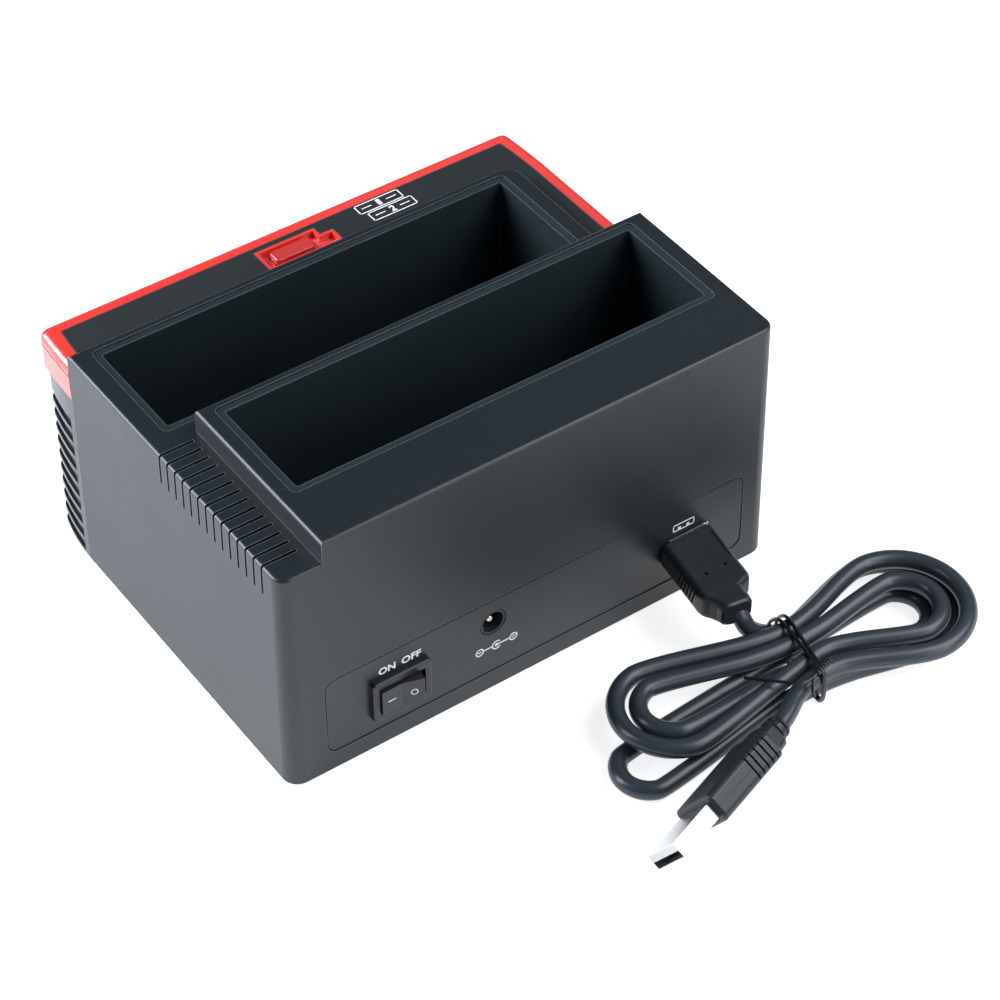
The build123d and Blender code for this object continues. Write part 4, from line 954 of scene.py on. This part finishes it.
# Twist tie: two bands round the hank, twisted shut on top, with two loose ends. Points are the hank's own
# U, V and Z in mm, a ring's V and Z, and a band its shift along U and its slant
tie = {
    "wire": 0.5 * mm,
    "tailWire": 0.45 * mm,
    "sides": 3,
    "u": -3.0,
    "bands": [(0.0, 0.16), (1.35, 0.08)],
    "ring": [(-14.6, 1.3), (-12.2, 0.54), (-2.0, 0.53), (9.0, 0.54), (11.6, 1.0), (12.35, 4.5),
             (12.3, 8.6), (11.4, 11.4), (8.6, 11.95), (-3.0, 11.85), (-8.6, 11.9), (-11.4, 10.6),
             (-14.3, 7.2), (-15.3, 4.0)],
    "knotFrom": (-4.2, 9.2),
    "knotTo": (1.6, 11.6),
    "twists": 3,
    "pointsPerTwist": 8,
    "knotRadius": 0.52,
    "knotZ": 12.9,
    "tail": [(1.6, 11.6, 12.9), (5.0, 13.2, 13.1), (8.6, 11.6, 13.2), (13.0, 7.0, 12.7), (17.5, 2.6, 12.2)],
    "shortTail": [(1.6, 11.6, 12.9), (3.4, 12.9, 12.8), (4.6, 14.2, 11.4), (4.4, 15.0, 9.0)],
}


def makeTie(values):
    def addWire(points, radius, cyclic=False):
        route = [hankPoint(u, v, z * mm) for u, v, z in points]
        wires.append(splineCurve("tieWire", route, radius, values["sides"], cyclic=cyclic))

    wires = []
    for shift, slant in values["bands"]:
        addWire([(values["u"] + shift + slant * v, v, z) for v, z in values["ring"]], values["wire"], True)
    steps = values["twists"] * values["pointsPerTwist"]
    (fromU, fromV), (toU, toV) = values["knotFrom"], values["knotTo"]
    for strand in (0, math.pi):
        twist = []
        for step in range(steps + 1):
            share = step / steps
            angle = strand + math.tau * values["twists"] * share
            twist.append((fromU + (toU - fromU) * share,
                          fromV + (toV - fromV) * share + values["knotRadius"] * math.cos(angle),
                          values["knotZ"] + values["knotRadius"] * math.sin(angle)))
        addWire(twist, values["wire"])
    for key in ("tail", "shortTail"):
        addWire(values[key], values["tailWire"])
    made = joinObjects("cableTie", [(toMesh(wire, "tieWire"), 0, 0) for wire in wires])
    for face in made.data.polygons:
        face.use_smooth = True
    return finishPiece(made, "tie", "dock", ("hank_tie",))


cableTie = makeTie(tie)
print("stage: tie")

# Studio: a pale floor that the camera sees white, soft lamps, and a dim surround
studio = {
    "floorSize": 8.0,
    "floorColor": (0.62, 0.64, 0.68),
    "floorRough": 0.9,
    "floorShine": 0.1,
    "floorGlow": 0.8,
    "surround": (0.075, 0.105, 0.13),
    "lamps": [
        {"name": "keyLamp", "at": (0.62, -0.48, 0.42), "aim": (0.12, -0.05, 0.0), "size": 0.6,
         "power": 17.0, "color": (0.88, 0.94, 1.0)},
        {"name": "fillLamp", "at": (-0.5, 1.5, 0.6), "aim": (0.0, 0.05, 0.03), "size": 1.0,
         "power": 9.5, "color": (0.87, 0.94, 1.0)},
        {"name": "cableLamp", "at": (-0.34, 0.3, 0.46), "aim": (-0.06, 0.11, 0.0), "size": 0.45,
         "power": 3.2, "color": (0.96, 0.98, 1.0)},
        {"name": "backLamp", "at": (-0.75, -0.75, 0.95), "aim": (-0.05, 0.0, 0.06), "size": 0.6,
         "power": 0.35, "color": (1.0, 1.0, 1.0)},
    ],
}


def makeStudio(values):
    bpy.ops.mesh.primitive_plane_add(size=values["floorSize"], location=(0, 0, 0))
    floor = bpy.context.object
    floor.name = "studioFloor"
    paint = bpy.data.materials.new("studioFloor")
    paint.use_nodes = True
    tree = paint.node_tree
    surface = tree.nodes["Principled BSDF"]
    surface.inputs["Base Color"].default_value = (*values["floorColor"], 1)
    surface.inputs["Roughness"].default_value = values["floorRough"]
    surface.inputs["Specular IOR Level"].default_value = values["floorShine"]
    paths = tree.nodes.new("ShaderNodeLightPath")
    seen = calculate(tree, "MAXIMUM", paths.outputs["Is Camera Ray"], paths.outputs["Is Glossy Ray"])
    seen = calculate(tree, "MAXIMUM", seen, paths.outputs["Is Transmission Ray"])
    surface.inputs["Emission Color"].default_value = (1, 1, 1, 1)
    glow = calculate(tree, "MULTIPLY", seen, values["floorGlow"])
    tree.links.new(glow, surface.inputs["Emission Strength"])
    floor.data.materials.append(paint)
    world = bpy.data.worlds.new("studioWorld")
    bpy.context.scene.world = world
    world.use_nodes = True
    tree = world.node_tree
    back = tree.nodes["Background"]
    back.inputs["Color"].default_value = (*values["surround"], 1)
    white = addNode(tree, "ShaderNodeBackground", {"Color": (1, 1, 1, 1), "Strength": 1.0})
    paths = tree.nodes.new("ShaderNodeLightPath")
    mix = tree.nodes.new("ShaderNodeMixShader")
    tree.links.new(paths.outputs["Is Camera Ray"], mix.inputs[0])
    tree.links.new(back.outputs[0], mix.inputs[1])
    tree.links.new(white.outputs[0], mix.inputs[2])
    tree.links.new(mix.outputs[0], tree.nodes["World Output"].inputs["Surface"])
    for lamp in values["lamps"]:
        data = bpy.data.lights.new(lamp["name"], "AREA")
        data.energy = lamp["power"]
        data.size = lamp["size"]
        data.color = lamp["color"]
        thing = addObject(lamp["name"], data)
        thing.location = lamp["at"]
        aim = Vector(lamp["aim"]) - Vector(lamp["at"])
        thing.rotation_euler = aim.to_track_quat("-Z", "Y").to_euler()


makeStudio(studio)
bpy.context.scene.view_settings.view_transform = "Standard"
print("stage: studio")
